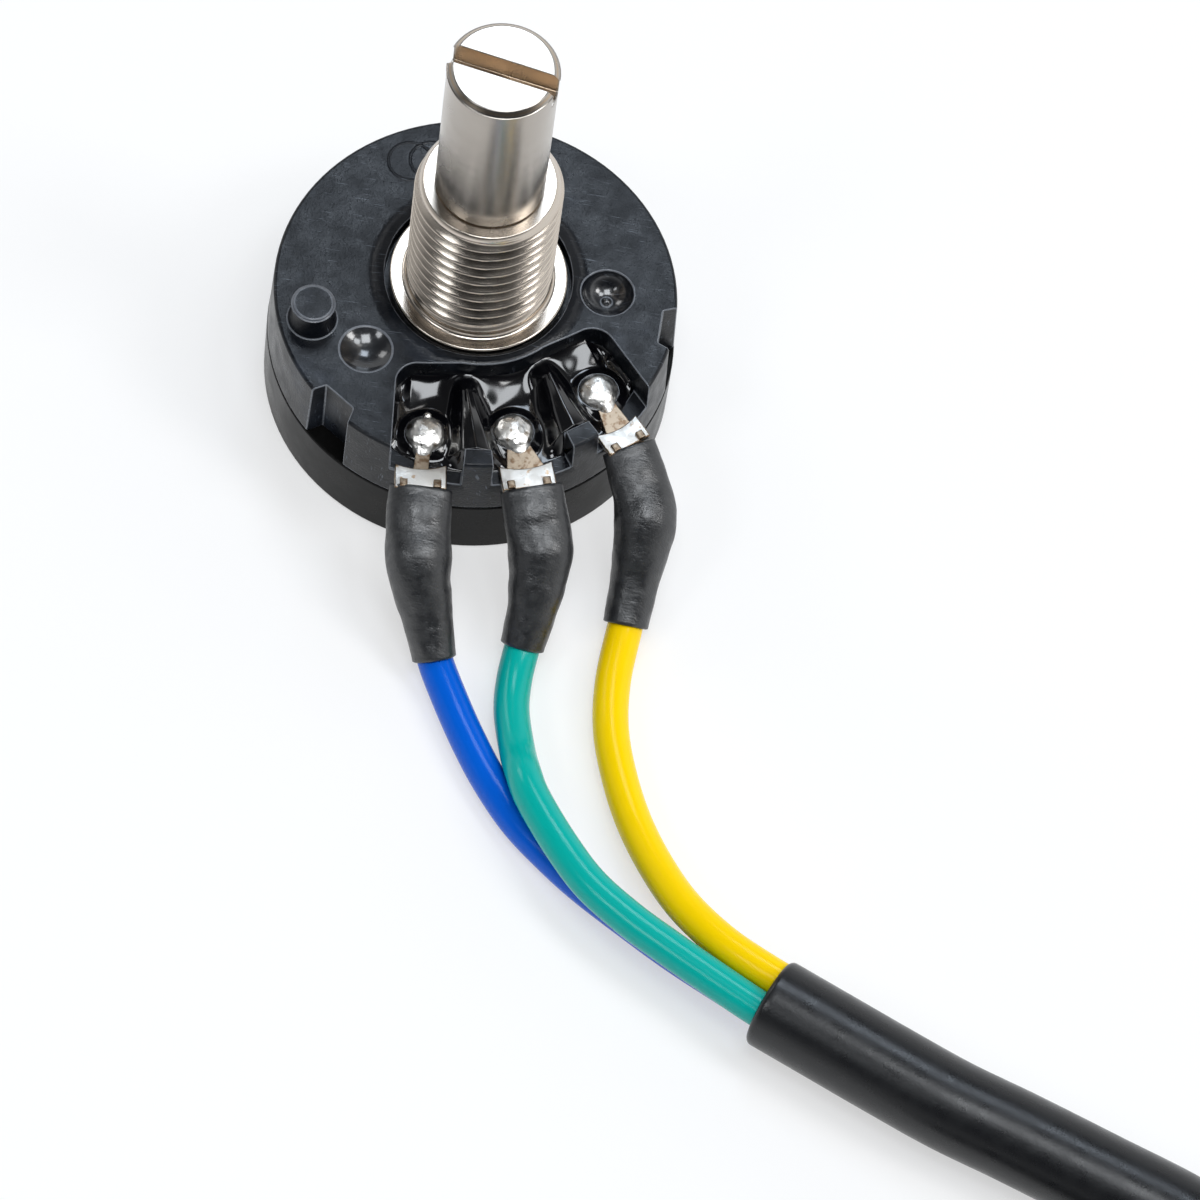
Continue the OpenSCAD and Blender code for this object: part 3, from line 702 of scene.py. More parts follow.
RESIN = Finish("potting_resin", "potting_resin", (0.002, 0.002, 0.003), 0.1, ior=1.7)
SLEEVE_SKIN = WrinkledSkin(
    "shrink_sleeve", "sleeve_rubber", (0.009, 0.0098, 0.0115), 0.38, ior=1.75, spread=0.09, spread_size=0.6,
    grains=(Grain(0.6, 0.03, 3.0), Grain(0.12, 0.014)),
)
JACKET_SKIN = Finish(
    "cable_jacket", "jacket_rubber", (0.0085, 0.009, 0.0105), 0.3, spread=0.04, spread_size=1.0,
    grains=(Grain(0.16, 0.006), Grain(1.2, 0.01)),
)
BLUE = Finish(
    "insulation_blue", "insulation_blue", (0.0, 0.115, 0.66), 0.2, ior=1.3, grains=(Grain(0.8, 0.006),),
)
GREEN = Finish(
    "insulation_green", "insulation_green", (0.0, 0.42, 0.36), 0.2, ior=1.34, grains=(Grain(0.8, 0.006),),
)
YELLOW = Finish(
    "insulation_yellow", "insulation_yellow", (1.0, 0.66, 0.0), 0.22, ior=1.26, grains=(Grain(0.8, 0.006),),
)
LAMINATE = Finish(
    "wafer_laminate", "wafer_laminate", (0.3, 0.18, 0.09), 0.55, mottle=Mottle((0.22, 0.12, 0.06), 1.5),
)
CARBON = Finish("carbon_print", "carbon_print", (0.02, 0.02, 0.022), 0.6, grains=(Grain(0.1, 0.002),))
SILVER = Finish("silver_print", "silver_print", (0.7, 0.68, 0.62), 0.4, metallic=1.0, spread=0.05)
CLIP_STEEL = Finish("clip_steel", "clip_steel", (0.5, 0.5, 0.51), 0.35, metallic=1.0, spread=0.05)
NYLON = Finish("washer_plastic", "washer_plastic", (0.8, 0.78, 0.72), 0.45, grains=(Grain(0.4, 0.004),))
ROTOR_PLASTIC = Finish(
    "rotor_plastic", "rotor_plastic", (0.78, 0.75, 0.68), 0.45, grains=(Grain(0.4, 0.004),),
)
SPRING_BRASS = Finish("spring_brass", "spring_brass", (0.72, 0.55, 0.28), 0.3, metallic=1.0, spread=0.05)
TIE_NYLON = Finish("tie_nylon", "tie_plastic", (0.014, 0.014, 0.016), 0.42, grains=(Grain(0.4, 0.005),))


# Mesh building: distances in metres, angles in degrees

WELD = 1e-7
SOLID_WELD = 2e-6
FLAT_ANGLE = 0.6
MOLDED_ANGLE = 28
PLATE_ANGLE = 50
EDGE_STEPS = 3
NORMAL_WEIGHT = 80
ROUTE_STEPS = 24
TUBE_END_STEPS = 5
TUBE_END_MIDDLE = 0.02


def add_object(name: str, data: bpy.types.ID) -> Piece:
    """Adds an object to the scene, at the origin.

    Args:
        name: The object's name.
        data: What it shows: a mesh, a curve, a lamp or a camera.

    Returns:
        The new object.
    """
    made = bpy.data.objects.new(name, data)
    bpy.context.scene.collection.objects.link(made)
    return made


def make_piece(name: str, points: np.ndarray, faces: Sequence[Sequence[int]], finish: Finish) -> Piece:
    """Makes a smooth mesh piece from points in millimetres.

    Args:
        name: The piece's name.
        points: One row for each vertex.
        faces: Vertex numbers of each face, all turned the same way.
        finish: The piece's surface.

    Returns:
        The new piece, its faces outwards.
    """
    mesh = bpy.data.meshes.new(name)
    mesh.from_pydata((np.asarray(points, float) * MM).tolist(), [], [list(face) for face in faces])
    mesh.polygons.foreach_set("use_smooth", [True] * len(mesh.polygons))
    mesh.materials.append(finish.build())
    mesh.validate()
    mesh.update()
    piece = add_object(name, mesh)
    shape = bmesh.new()
    shape.from_mesh(mesh)
    bmesh.ops.remove_doubles(shape, verts=shape.verts, dist=WELD)
    bmesh.ops.recalc_face_normals(shape, faces=shape.faces)
    shape.to_mesh(mesh)
    shape.free()
    return piece


def finish_piece(piece: Piece, body: Body, finish: Finish, *nodes: str) -> None:
    """Says what a piece rides on, stands for and takes its finish from.

    Args:
        piece: The finished object.
        body: The body that carries it.
        finish: Its surface.
        *nodes: The solids that it stands for.
    """
    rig.ride(piece, body.value)
    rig.slot(piece, finish.slot)
    if nodes:
        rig.replaces(piece, *nodes)
    log.info("piece %s with %d faces rides on %s", piece.name, len(piece.data.polygons), body.value)


def grid_faces(rows: int, columns: int, around: bool = False, closed: bool = False) -> list[tuple[int, ...]]:
    """Quads between neighbouring points of a grid.

    Args:
        rows: Number of rows.
        columns: Number of points in a row.
        around: Whether each row joins up.
        closed: Whether the last row joins the first.

    Returns:
        The faces.
    """
    faces = []
    for i in range(rows if closed else rows - 1):
        below, above = i * columns, ((i + 1) % rows) * columns
        for k in range(columns if around else columns - 1):
            n = (k + 1) % columns
            faces.append((below + k, below + n, above + n, above + k))
    return faces


def smooth_route(points: Sequence[Point], step: float) -> np.ndarray:
    """Follows given points with one smooth curve, in even steps.

    Args:
        points: The points in millimetres.
        step: Distance between results.

    Returns:
        One row for each step.
    """
    fixed = np.asarray(points, float)
    padded = np.vstack([2 * fixed[0] - fixed[1], fixed, 2 * fixed[-1] - fixed[-2]])
    dense = []
    for i in range(1, len(padded) - 2):
        a, b, c, d = padded[i - 1:i + 3]
        for t in np.linspace(0, 1, ROUTE_STEPS, endpoint=False):
            dense.append(0.5 * (2 * b + (c - a) * t + (2 * a - 5 * b + 4 * c - d) * t ** 2
                                + (3 * b - a - 3 * c + d) * t ** 3))
    dense.append(padded[-2])
    return even_steps(np.array(dense), step)


def even_steps(line: np.ndarray, step: float) -> np.ndarray:
    """Spaces a line's points evenly.

    Args:
        line: The points of a line.
        step: About how far apart the results lie.

    Returns:
        Evenly spaced points with the same ends.
    """
    reach = np.concatenate([[0.0], np.cumsum(np.linalg.norm(np.diff(line, axis=0), axis=1))])
    wanted = np.linspace(0.0, reach[-1], max(2, int(round(reach[-1] / step)) + 1))
    return np.column_stack([np.interp(wanted, reach, line[:, axis]) for axis in range(3)])


def line_length(line: np.ndarray) -> float:
    """Length of a line of points."""
    return float(np.linalg.norm(np.diff(line, axis=0), axis=1).sum())


def frames(line: np.ndarray) -> tuple[np.ndarray, np.ndarray, np.ndarray]:
    """Directions along a line: forwards, level sideways, and across both.

    Args:
        line: The points of a line.

    Returns:
        Forward, side and up directions, one row for each point.
    """
    forward = np.gradient(line, axis=0)
    forward /= np.linalg.norm(forward, axis=1)[:, None]
    side = np.cross(forward, UP)
    side /= np.linalg.norm(side, axis=1)[:, None]
    return forward, side, np.cross(side, forward)


def ring_points(centres: np.ndarray, side: np.ndarray, up: np.ndarray, widths: np.ndarray,
                heights: np.ndarray, sides: int) -> np.ndarray:
    """Points of oval rings along a line.

    Args:
        centres: Middle of each ring.
        side: Sideways direction of each ring.
        up: Upward direction of each ring.
        widths: Half width of each ring.
        heights: Half height of each ring.
        sides: Points in a ring.

    Returns:
        The points, by ring and place in the ring.
    """
    angles = np.linspace(0, 2 * math.pi, sides, endpoint=False)
    across = np.cos(angles)[None, :, None] * (side * widths[:, None])[:, None, :]
    upward = np.sin(angles)[None, :, None] * (up * heights[:, None])[:, None, :]
    return centres[:, None, :] + across + upward


def rounded_tube(name: str, line: np.ndarray, radius: float, rounding: float, sides: int, finish: Finish
                 ) -> Piece:
    """A solid tube with rounded end faces.

    Args:
        name: The piece's name.
        line: Its centreline.
        radius: Its radius.
        rounding: Radius of the rounded edge at each end.
        sides: Points round it.
        finish: Its surface.

    Returns:
        The new piece.
    """
    forward, side, up = frames(line)
    bend = np.linspace(0, math.pi / 2, TUBE_END_STEPS)
    inset = rounding * (1 - np.sin(bend))[:, None]
    edge = radius - rounding * (1 - np.cos(bend))
    start = line[0] + forward[0] * inset[::-1]
    end = line[-1] - forward[-1] * inset
    middle = TUBE_END_MIDDLE * radius
    centres = np.vstack([start[0], start, line[1:-1], end, end[-1]])
    radii = np.concatenate([[middle], edge[::-1], np.full(len(line) - 2, radius), edge, [middle]])
    nearest = [int(np.argmin(((line - centre) ** 2).sum(axis=1))) for centre in centres]
    points = ring_points(centres, side[nearest], up[nearest], radii, radii, sides).reshape(-1, 3)
    faces = [tuple(reversed(face)) for face in grid_faces(len(centres), sides, around=True)]
    first = tuple(range(sides))
    last = tuple(reversed(range((len(centres) - 1) * sides, len(centres) * sides)))
    return make_piece(name, points, [*faces, first, last], finish)


def round_edges(piece: Piece, width: float, degrees: float) -> bpy.types.BevelModifier:
    """Rounds a piece's sharp edges.

    Args:
        piece: The piece.
        width: Width of the rounding in millimetres.
        degrees: Sharpness from which an edge is rounded.

    Returns:
        The modifier that does it.
    """
    rounding = piece.modifiers.new("edges", "BEVEL")
    rounding.width = width * MM
    rounding.segments = EDGE_STEPS
    rounding.limit_method = "ANGLE"
    rounding.angle_limit = math.radians(degrees)
    return rounding


def bevelled_copy(node: Piece, name: str, width: float, finish: Finish) -> Piece:
    """A copy of a solid whose edges are rounded as moulding or turning leaves them.

    Args:
        node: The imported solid.
        name: The piece's name.
        width: Width of the rounding in millimetres.
        finish: Its surface.

    Returns:
        The new piece.
    """
    mesh = bpy.data.meshes.new(name)
    shape = bmesh.new()
    shape.from_mesh(node.data)
    bmesh.ops.remove_doubles(shape, verts=shape.verts, dist=SOLID_WELD)
    flat = math.radians(FLAT_ANGLE)
    bmesh.ops.dissolve_limit(shape, angle_limit=flat, verts=shape.verts, edges=shape.edges)
    bmesh.ops.recalc_face_normals(shape, faces=shape.faces)
    shape.to_mesh(mesh)
    shape.free()
    mesh.materials.clear()
    mesh.materials.append(finish.build())
    mesh.polygons.foreach_set("use_smooth", [True] * len(mesh.polygons))
    piece = add_object(name, mesh)
    rounding = round_edges(piece, width, MOLDED_ANGLE)
    rounding.use_clamp_overlap = False
    rounding.miter_outer = "MITER_ARC"
    normals = piece.modifiers.new("normals", "WEIGHTED_NORMAL")
    normals.keep_sharp = True
    normals.weight = NORMAL_WEIGHT
    return piece


def turned(u: np.ndarray | float, v: np.ndarray | float, degrees: float) -> tuple[np.ndarray, np.ndarray]:
    """Turns places about Z.

    Args:
        u: Places along the first axis.
        v: Places along the second.
        degrees: How far they turn.

    Returns:
        The turned places along both axes.
    """
    c, d = math.cos(math.radians(degrees)), math.sin(math.radians(degrees))
    return u * c - v * d, u * d + v * c


def polar(radius: float, degrees: float) -> np.ndarray:
    """A point in the plane at a distance and an angle from the shaft."""
    return radius * np.array([math.cos(math.radians(degrees)), math.sin(math.radians(degrees))])


# Studio


@dataclass
class Softbox:
    """A square studio lamp that looks at the pot.

    Attributes:
        name: The lamp's name.
        towards: Direction from the pot to the lamp.
        distance: Its distance in millimetres.
        side: Its side in millimetres.
        radiance: Its brightness, where 1 is white.
        color: Its tint.
    """

    name: str
    towards: Point
    distance: float
    side: float
    radiance: float
    color: Color = (1.0, 1.0, 1.0)

    def place(self, target: Point) -> None:
        """Adds the lamp.

        Args:
            target: The point it looks at, in millimetres.
        """
        lamp = bpy.data.lights.new(self.name, "AREA")
        lamp.shape = "SQUARE"
        lamp.size = self.side * MM
        lamp.energy = self.radiance * math.pi * (self.side * MM) ** 2
        lamp.color = self.color
        made = add_object(self.name, lamp)
        way = Vector(self.towards).normalized()
        made.location = (Vector(target) + way * self.distance) * MM
        made.rotation_euler = way.to_track_quat("Z", "Y").to_euler()


@dataclass
class Studio:
    """Camera, pale floor, soft surroundings and lamps.

    Attributes:
        camera_at: The camera's place in millimetres.
        elevation: Its angle above the horizon in degrees.
        roll: Its roll in degrees.
        lens: Its focal length in millimetres on a 36 mm sensor.
        ambient: Strength of the surroundings to the left and behind.
        sky: Tint of the surroundings.
        right_wall: How much brighter they are to the right.
        right_span: Where on X that comes in.
        dark_front: How much darker they are above the camera's side.
        front_span: Where on Y that goes out.
        front_rise: Where on Z that comes in.
        roof: How much darker they are overhead, between the lamps.
        roof_span: Where on Z that comes in.
        floor_lift: Share of plain white in what the floor shows.
        paper: Share of light that the floor throws back.
        half: Half width of the floor in metres.
        target: The point that the lamps look at, in millimetres.
        lamps: The lamps.
    """

    camera_at: Point = (10.01, -229.92, 381.70)
    elevation: float = 60.611
    roll: float = 9.184
    lens: float = 225.0
    ambient: float = 0.56
    sky: Color = (0.97, 0.985, 1.0)
    right_wall: float = 0.5
    right_span: tuple[float, float] = (-0.1, 0.7)
    dark_front: float = 0.8
    front_span: tuple[float, float] = (-0.5, 0.1)
    front_rise: tuple[float, float] = (0.12, 0.4)
    roof: float = 0.85
    roof_span: tuple[float, float] = (0.4, 0.65)
    floor_lift: float = 0.55
    paper: float = 0.98
    half: float = 2.5
    target: Point = (0.0, 0.0, 8.0)
    lamps: list[Softbox] = field(default_factory=lambda: [
        Softbox("rear_lamp", (0.0, 0.5, 0.86), 900.0, 270.0, 6.6, (0.78, 0.88, 1.0)),
        Softbox("overhead_lamp", (0.06, -0.22, 0.97), 900.0, 360.0, 7.0, (0.93, 0.965, 1.0)),
        Softbox("side_lamp", (0.42, 0.03, 0.9), 900.0, 250.0, 7.0, (0.93, 0.965, 1.0)),
        Softbox("right_lamp", (0.68, -0.1, 0.73), 900.0, 230.0, 9.0),
        Softbox("front_left_lamp", (-0.5, -0.42, 0.76), 900.0, 220.0, 5.5, (0.93, 0.965, 1.0)),
        Softbox("left_strip", (-0.66, 0.49, 0.55), 800.0, 220.0, 3.0),
    ])

    def build(self) -> None:
        """Builds the whole studio."""
        self._camera()
        self._world()
        self._floor()
        for lamp in self.lamps:
            lamp.place(self.target)
        bpy.context.scene.view_settings.view_transform = "Standard"
        log.info("studio with %d lamps", len(self.lamps))

    def _camera(self) -> None:
        """Adds the camera that the photograph was taken with."""
        lens = bpy.data.cameras.new("camera")
        lens.sensor_width = 36.0
        lens.lens = self.lens
        lens.clip_start = 0.01
        lens.clip_end = 20.0
        camera = add_object("camera", lens)
        tilt, roll = math.radians(self.elevation), math.radians(self.roll)
        forward = Vector((0.0, math.cos(tilt), -math.sin(tilt)))
        right = Vector((math.cos(roll), math.sin(roll) * math.sin(tilt), math.sin(roll) * math.cos(tilt)))
        up = Vector((-math.sin(roll), math.cos(roll) * math.sin(tilt), math.cos(roll) * math.cos(tilt)))
        turn = Matrix((right, up, -forward)).transposed()
        camera.matrix_world = Matrix.Translation(Vector(self.camera_at) * MM) @ turn.to_4x4()
        bpy.context.scene.camera = camera

    def _world(self) -> None:
        """Soft surroundings, brighter to the right and darker high above the front."""
        world = bpy.data.worlds.new("studio")
        bpy.context.scene.world = world
        world.use_nodes = True
        kit = TreeKit(world.node_tree)
        way = kit.node("ShaderNodeSeparateXYZ")
        kit.link(kit.node("ShaderNodeTexCoord").outputs["Generated"], way.inputs[0])
        right = kit.band(way.outputs["X"], *self.right_span, self.ambient, self.ambient + self.right_wall)
        front = kit.band(way.outputs["Y"], *self.front_span, self.dark_front, 0.0)
        high = kit.band(way.outputs["Z"], *self.front_rise, 0.0, 1.0)
        keep = kit.math("SUBTRACT", 1.0, kit.math("MULTIPLY", front, high))
        roof = kit.band(way.outputs["Z"], *self.roof_span, 1.0, 1.0 - self.roof)
        sides = kit.math("MULTIPLY", right, keep)
        light = kit.tree.nodes["Background"]
        light.inputs["Color"].default_value = (*self.sky, 1.0)
        kit.link(kit.math("MULTIPLY", sides, roof), light.inputs["Strength"])

    @staticmethod
    def _seen(kit: TreeKit) -> Socket:
        """1 for rays from the camera, off gloss and through glass, else 0.

        Args:
            kit: The tree that gets the nodes.

        Returns:
            The socket with that value.
        """
        path = kit.node("ShaderNodeLightPath")
        total = path.outputs["Is Camera Ray"]
        for name in ("Is Glossy Ray", "Is Transmission Ray"):
            total = kit.math("MAXIMUM", total, path.outputs[name])
        return total

    def _floor(self) -> None:
        """A pale floor that keeps the object's shadow and runs out to white."""
        corners = [(x * self.half, y * self.half, 0) for x, y in ((-1, -1), (1, -1), (1, 1), (-1, 1))]
        mesh = bpy.data.meshes.new("floor")
        mesh.from_pydata(corners, [], [(0, 1, 2, 3)])
        material = bpy.data.materials.new("pale_floor")
        material.use_nodes = True
        kit = TreeKit(material.node_tree)
        kit.tree.nodes.remove(kit.tree.nodes["Principled BSDF"])
        paper = kit.node("ShaderNodeBsdfDiffuse")
        paper.inputs["Color"].default_value = (self.paper, self.paper, self.paper, 1.0)
        white = kit.node("ShaderNodeEmission")
        both = kit.node("ShaderNodeMixShader")
        kit.link(kit.math("MULTIPLY", self._seen(kit), self.floor_lift), both.inputs["Fac"])
        kit.link(paper.outputs[0], both.inputs[1])
        kit.link(white.outputs[0], both.inputs[2])
        kit.link(both.outputs[0], kit.tree.nodes["Material Output"].inputs["Surface"])
        mesh.materials.append(material)
        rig.stage(add_object("floor", mesh))


# Cable, cores and sleeves


class PathTube:
    """Geometry Nodes that sweep a round section along a curve.

    Attributes:
        tree: The node group.
        radius: Identifier of the input for the section's radius in metres.
        sides: Identifier of the input for the points round it.
        skin: Identifier of the input for its material.
    """

    def __init__(self) -> None:
        """Builds the node group once."""
        self.tree = bpy.data.node_groups.new("round_section_along_path", "GeometryNodeTree")
        face = self.tree.interface
        face.new_socket("Geometry", in_out="INPUT", socket_type="NodeSocketGeometry")
        self.radius, self.sides, self.skin = (
            face.new_socket(name, in_out="INPUT", socket_type="NodeSocket" + kind).identifier
            for name, kind in (("Radius", "Float"), ("Sides", "Int"), ("Skin", "Material"))
        )
        face.new_socket("Geometry", in_out="OUTPUT", socket_type="NodeSocketGeometry")
        nodes, links = self.tree.nodes, self.tree.links
        source = nodes.new("NodeGroupInput")
        section = nodes.new("GeometryNodeCurvePrimitiveCircle")
        tube = nodes.new("GeometryNodeCurveToMesh")
        tube.inputs["Fill Caps"].default_value = True
        smooth = nodes.new("GeometryNodeSetShadeSmooth")
        real = nodes.new("GeometryNodeRealizeInstances")
        skin = nodes.new("GeometryNodeSetMaterial")
        result = nodes.new("NodeGroupOutput")
        links.new(source.outputs["Geometry"], tube.inputs["Curve"])
        links.new(source.outputs["Radius"], section.inputs["Radius"])
        links.new(source.outputs["Sides"], section.inputs["Resolution"])
        links.new(section.outputs["Curve"], tube.inputs["Profile Curve"])
        links.new(source.outputs["Skin"], skin.inputs["Material"])
        links.new(tube.outputs["Mesh"], smooth.inputs["Geometry"])
        for before, after in ((smooth, real), (real, skin), (skin, result)):
            links.new(before.outputs["Geometry"], after.inputs["Geometry"])

    def bake(self, name: str, line: np.ndarray, radius: float, sides: int, finish: Finish) -> Piece:
        """Sweeps one tube and turns it into a plain mesh.

        Args:
            name: The piece's name.
            line: Its centreline in millimetres.
            radius: Its radius in millimetres.
            sides: Points round it.
            finish: Its surface.

        Returns:
            The new piece.
        """
        curve = bpy.data.curves.new(name + "_line", "CURVE")
        curve.dimensions = "3D"
        spline = curve.splines.new("POLY")
        spline.points.add(len(line) - 1)
        spline.points.foreach_set("co", np.column_stack([line * MM, np.ones(len(line))]).ravel())
        carrier = add_object(name + "_line", curve)
        modifier = carrier.modifiers.new("tube", "NODES")
        modifier.node_group = self.tree
        modifier[self.radius] = radius * MM
        modifier[self.sides] = sides
        modifier[self.skin] = finish.build()
        graph = bpy.context.evaluated_depsgraph_get()
        mesh = bpy.data.meshes.new_from_object(carrier.evaluated_get(graph))
        mesh.name = name
        piece = add_object(name, mesh)
        bpy.data.objects.remove(carrier)
        bpy.data.curves.remove(curve)
        return piece


@dataclass
class Sleeve:
    """A shrunk sleeve over one solder tag's tail and the end of its core.

    Attributes:
        side: The tag that it covers.
        route: Its centreline.
        half_widths: Half width at each point of the route.
        seed: Start of its own unevenness.
        half_heights: Half height at each point of the route.
        wall: Its thickness.
        sides: Points round it.
        step: Distance between its rings.
        patch: Lumps in a millimetre.
        lumps: Depth of each layer of lumps, and how much finer than the first it is.
        lip: How far each lip bulges, as a share of a ring's distance.
    """

    side: Side
    route: list[Point]
    half_widths: tuple[float, ...]
    seed: float
    half_heights: tuple[float, ...] = (0.85, 1.1, 1.6, 1.55, 1.38, 1.33)
    wall: float = 0.25
    sides: int = 72
    step: float = 0.16
    patch: float = 0.42
    lumps: tuple[tuple[float, float], ...] = ((0.11, 1.0), (0.035, 3.1))
    lip: float = 0.35

    def build(self) -> Piece:
        """Builds the sleeve with soft lumps and open ends.

        Returns:
            The new piece.
        """
        line = smooth_route(self.route, self.step)
        marks = np.linspace(0, 1, len(self.route))
        along = np.linspace(0, 1, len(line))
        widths = self._eased(along, marks, self.half_widths)
        heights = self._eased(along, marks, self.half_heights)
        _, side, up = frames(line)
        outer = self._uneven(ring_points(line, side, up, widths, heights, self.sides), line)
        inner = line[:, None, :] + (outer - line[:, None, :]) * (1 - self.wall / widths.mean())
        loop = self._loop(outer, inner)
        faces = grid_faces(len(loop), self.sides, around=True, closed=True)
        piece = make_piece("shrink_sleeve_" + self.side.value, np.vstack(loop), faces, SLEEVE_SKIN)
        finish_piece(piece, Body.HOUSING, SLEEVE_SKIN, "sleeve_" + self.side.value)
        return piece

    @staticmethod
    def _eased(along: np.ndarray, marks: np.ndarray, values: Sequence[float]) -> np.ndarray:
        """Values at each mark, eased between marks.

        Args:
            along: Where the results are wanted, from 0 to 1.
            marks: Where the values are given.
            values: The values.

        Returns:
            One value for each place.
        """
        slot = np.clip(np.searchsorted(marks, along, side="right") - 1, 0, len(marks) - 2)
        share = (along - marks[slot]) / (marks[slot + 1] - marks[slot])
        share = share * share * (3 - 2 * share)
        table = np.asarray(values)
        return table[slot] * (1 - share) + table[slot + 1] * share

    def _uneven(self, outer: np.ndarray, line: np.ndarray) -> np.ndarray:
        """Pushes the skin in and out as a sleeve shrinks over what is inside.

        Args:
            outer: The outer rings.
            line: The centreline.

        Returns:
            The moved rings.
        """
        moved = outer.copy()
        for i, ring in enumerate(outer):
            for k, point in enumerate(ring):
                away = point - line[i]
                reach = np.linalg.norm(away)
                spot = Vector(point * self.patch) + Vector((self.seed, 0.0, 0.0))
                lump = sum(depth * noise.noise(spot * finer) for depth, finer in self.lumps)
                moved[i, k] = line[i] + away * (1 + lump / reach)
        return moved

    def _loop(self, outer: np.ndarray, inner: np.ndarray) -> list[np.ndarray]:
        """Rings round the near lip, down the outside, round the far lip and back inside.

        Args:
            outer: The outer rings.
            inner: The inner rings.

        Returns:
            The rings in order.
        """
        near = 0.5 * (outer[0] + inner[0]) - self.lip * (outer[1] - outer[0])
        far = 0.5 * (outer[-1] + inner[-1]) + self.lip * (outer[-1] - outer[-2])
        return [near, *outer, far, *inner[::-1]]


@dataclass
class Loom:
    """The three cores, their sleeves, and the cable with its coil and free end.

    Attributes:
        coil_centre: Middle of the coil.
        coil_radius: Radius of its outer turn.
        coil_pitch: Distance between its turns.
        coil_turns: Number of turns.
        coil_start: Angle at which the cable joins it, in degrees.
        coil_z: Height of the cable's middle in the coil.
        coil_steps: Points in a turn of the coil.
        cable_step: Distance between the cable's rings.
        cable_edge: Rounding of the cable's ends.
        tie_edge: Width of the rounding on the tie's edges.
        core_step: Distance between a core's rings.
        end_step: The same in a core's free end.
        cable_sides: Points round the cable.
        core_sides: Points round a core.
        end_sides: Points round a core's free end.
        cores: Colour name, route and finish of each core, from left to right.
        strands: Number of strands in a bare end, one of them in the middle.
        strand_radius: Radius of a strand.
        strand_gap: Distance from the middle strand to the others.
        strand_reach: Where a strand starts and ends, from the insulation's end.
        strand_points: Points along a strand.
        strand_sides: Points round a strand.
        strand_twist: How far a strand turns in a millimetre, in degrees.
    """

    coil_centre: tuple[float, float] = (42.5, -86.5)
    coil_radius: float = 31.5
    coil_pitch: float = 5.45
    coil_turns: int = 2
    coil_start: float = 42.0
    coil_z: float = 3.15
    coil_steps: int = 72
    cable_step: float = 0.6
    cable_edge: float = 0.35
    tie_edge: float = 0.12
    core_step: float = 0.25
    end_step: float = 0.3
    cable_sides: int = 56
    core_sides: int = 40
    end_sides: int = 32
    cores: tuple[tuple[str, list[Point], Finish], ...] = (
        ("blue", BLUE_ROUTE, BLUE), ("green", GREEN_ROUTE, GREEN), ("yellow", YELLOW_ROUTE, YELLOW),
    )
    strands: int = 7
    strand_radius: float = 0.2
    strand_gap: float = 0.39
    strand_reach: tuple[float, float] = (-0.4, 4.9)
    strand_points: int = 30
    strand_sides: int = 8
    strand_twist: float = 70.0

    def build(self) -> None:
        """Builds and declares every cord, then the pieces on them."""
        tube = PathTube()
        cable, cable_line = self._cable()
        ends = self._core_ends(tube)
        tie = bevelled_copy(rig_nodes()["coil_tie"], "tie_strap", self.tie_edge, TIE_NYLON)
        finish_piece(tie, Body.HOUSING, TIE_NYLON, "coil_tie")
        sleeves = [sleeve.build() for sleeve in sleeve_set()]
        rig.cord(
            cable, exit=tuple(cable_line[0] * MM), length=line_length(cable_line) * MM, diameter=CABLE_D * MM,
            far_end="bare", stiffness="medium", lay="coiled", path=(cable_line * MM).tolist(),
            with_pieces=[*ends, tie],
        )
        for (label, route, finish), sleeve in zip(self.cores, sleeves):
            line = smooth_route(route, self.core_step)
            core = tube.bake("core_" + label, line, CORE_D / 2, self.core_sides, finish)
            finish_piece(core, Body.HOUSING, finish, "wire_" + label)
            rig.cord(
                core, exit=tuple(line[0] * MM), length=line_length(line) * MM, diameter=CORE_D * MM,
                far_end="object", stiffness="limp", lay="loose", path=(line * MM).tolist(),
                with_pieces=[sleeve],
            )

    def _cable(self) -> tuple[Piece, np.ndarray]:
        """The jacket from its mouth, round the coil, to the free end.

        Returns:
            The piece and its centreline.
        """
        turns = []
        steps = self.coil_steps * self.coil_turns
        for i in range(1, steps):
            share = i / steps
            radius = self.coil_radius - self.coil_pitch * self.coil_turns * share
            angle = self.coil_start - 360 * self.coil_turns * share
            x, y = np.array(self.coil_centre) + polar(radius, angle)
            turns.append((x, y, self.coil_z))
        line = smooth_route([*JACKET_ROUTE, *turns, *FREE_END_ROUTE], self.cable_step)
        piece = rounded_tube("cable", line, CABLE_D / 2, self.cable_edge, self.cable_sides, JACKET_SKIN)
        finish_piece(piece, Body.HOUSING, JACKET_SKIN, "cable_jacket", "cable_coil", "cable_end")
        return piece, line

    def _core_ends(self, tube: PathTube) -> list[Piece]:
        """The free ends of the cores, with twisted tinned strands.

        Args:
            tube: The maker of round sections.

        Returns:
            The pieces.
        """
        pieces = []
        for (label, _, finish), route in zip(self.cores, CORE_END_ROUTES):
            line = smooth_route(route, self.end_step)
            piece = tube.bake("core_end_" + label + "_skin", line, CORE_D / 2, self.end_sides, finish)
            forward, _, _ = frames(line)
            for k in range(self.strands):
                strand = self._strand(line[-1], forward[-1], k)
                made = tube.bake("strand", strand, self.strand_radius, self.strand_sides, TAG_TIN)
                piece = self._joined(piece, made)
            finish_piece(piece, Body.HOUSING, finish, "core_end_" + label)
            pieces.append(piece)
        return pieces

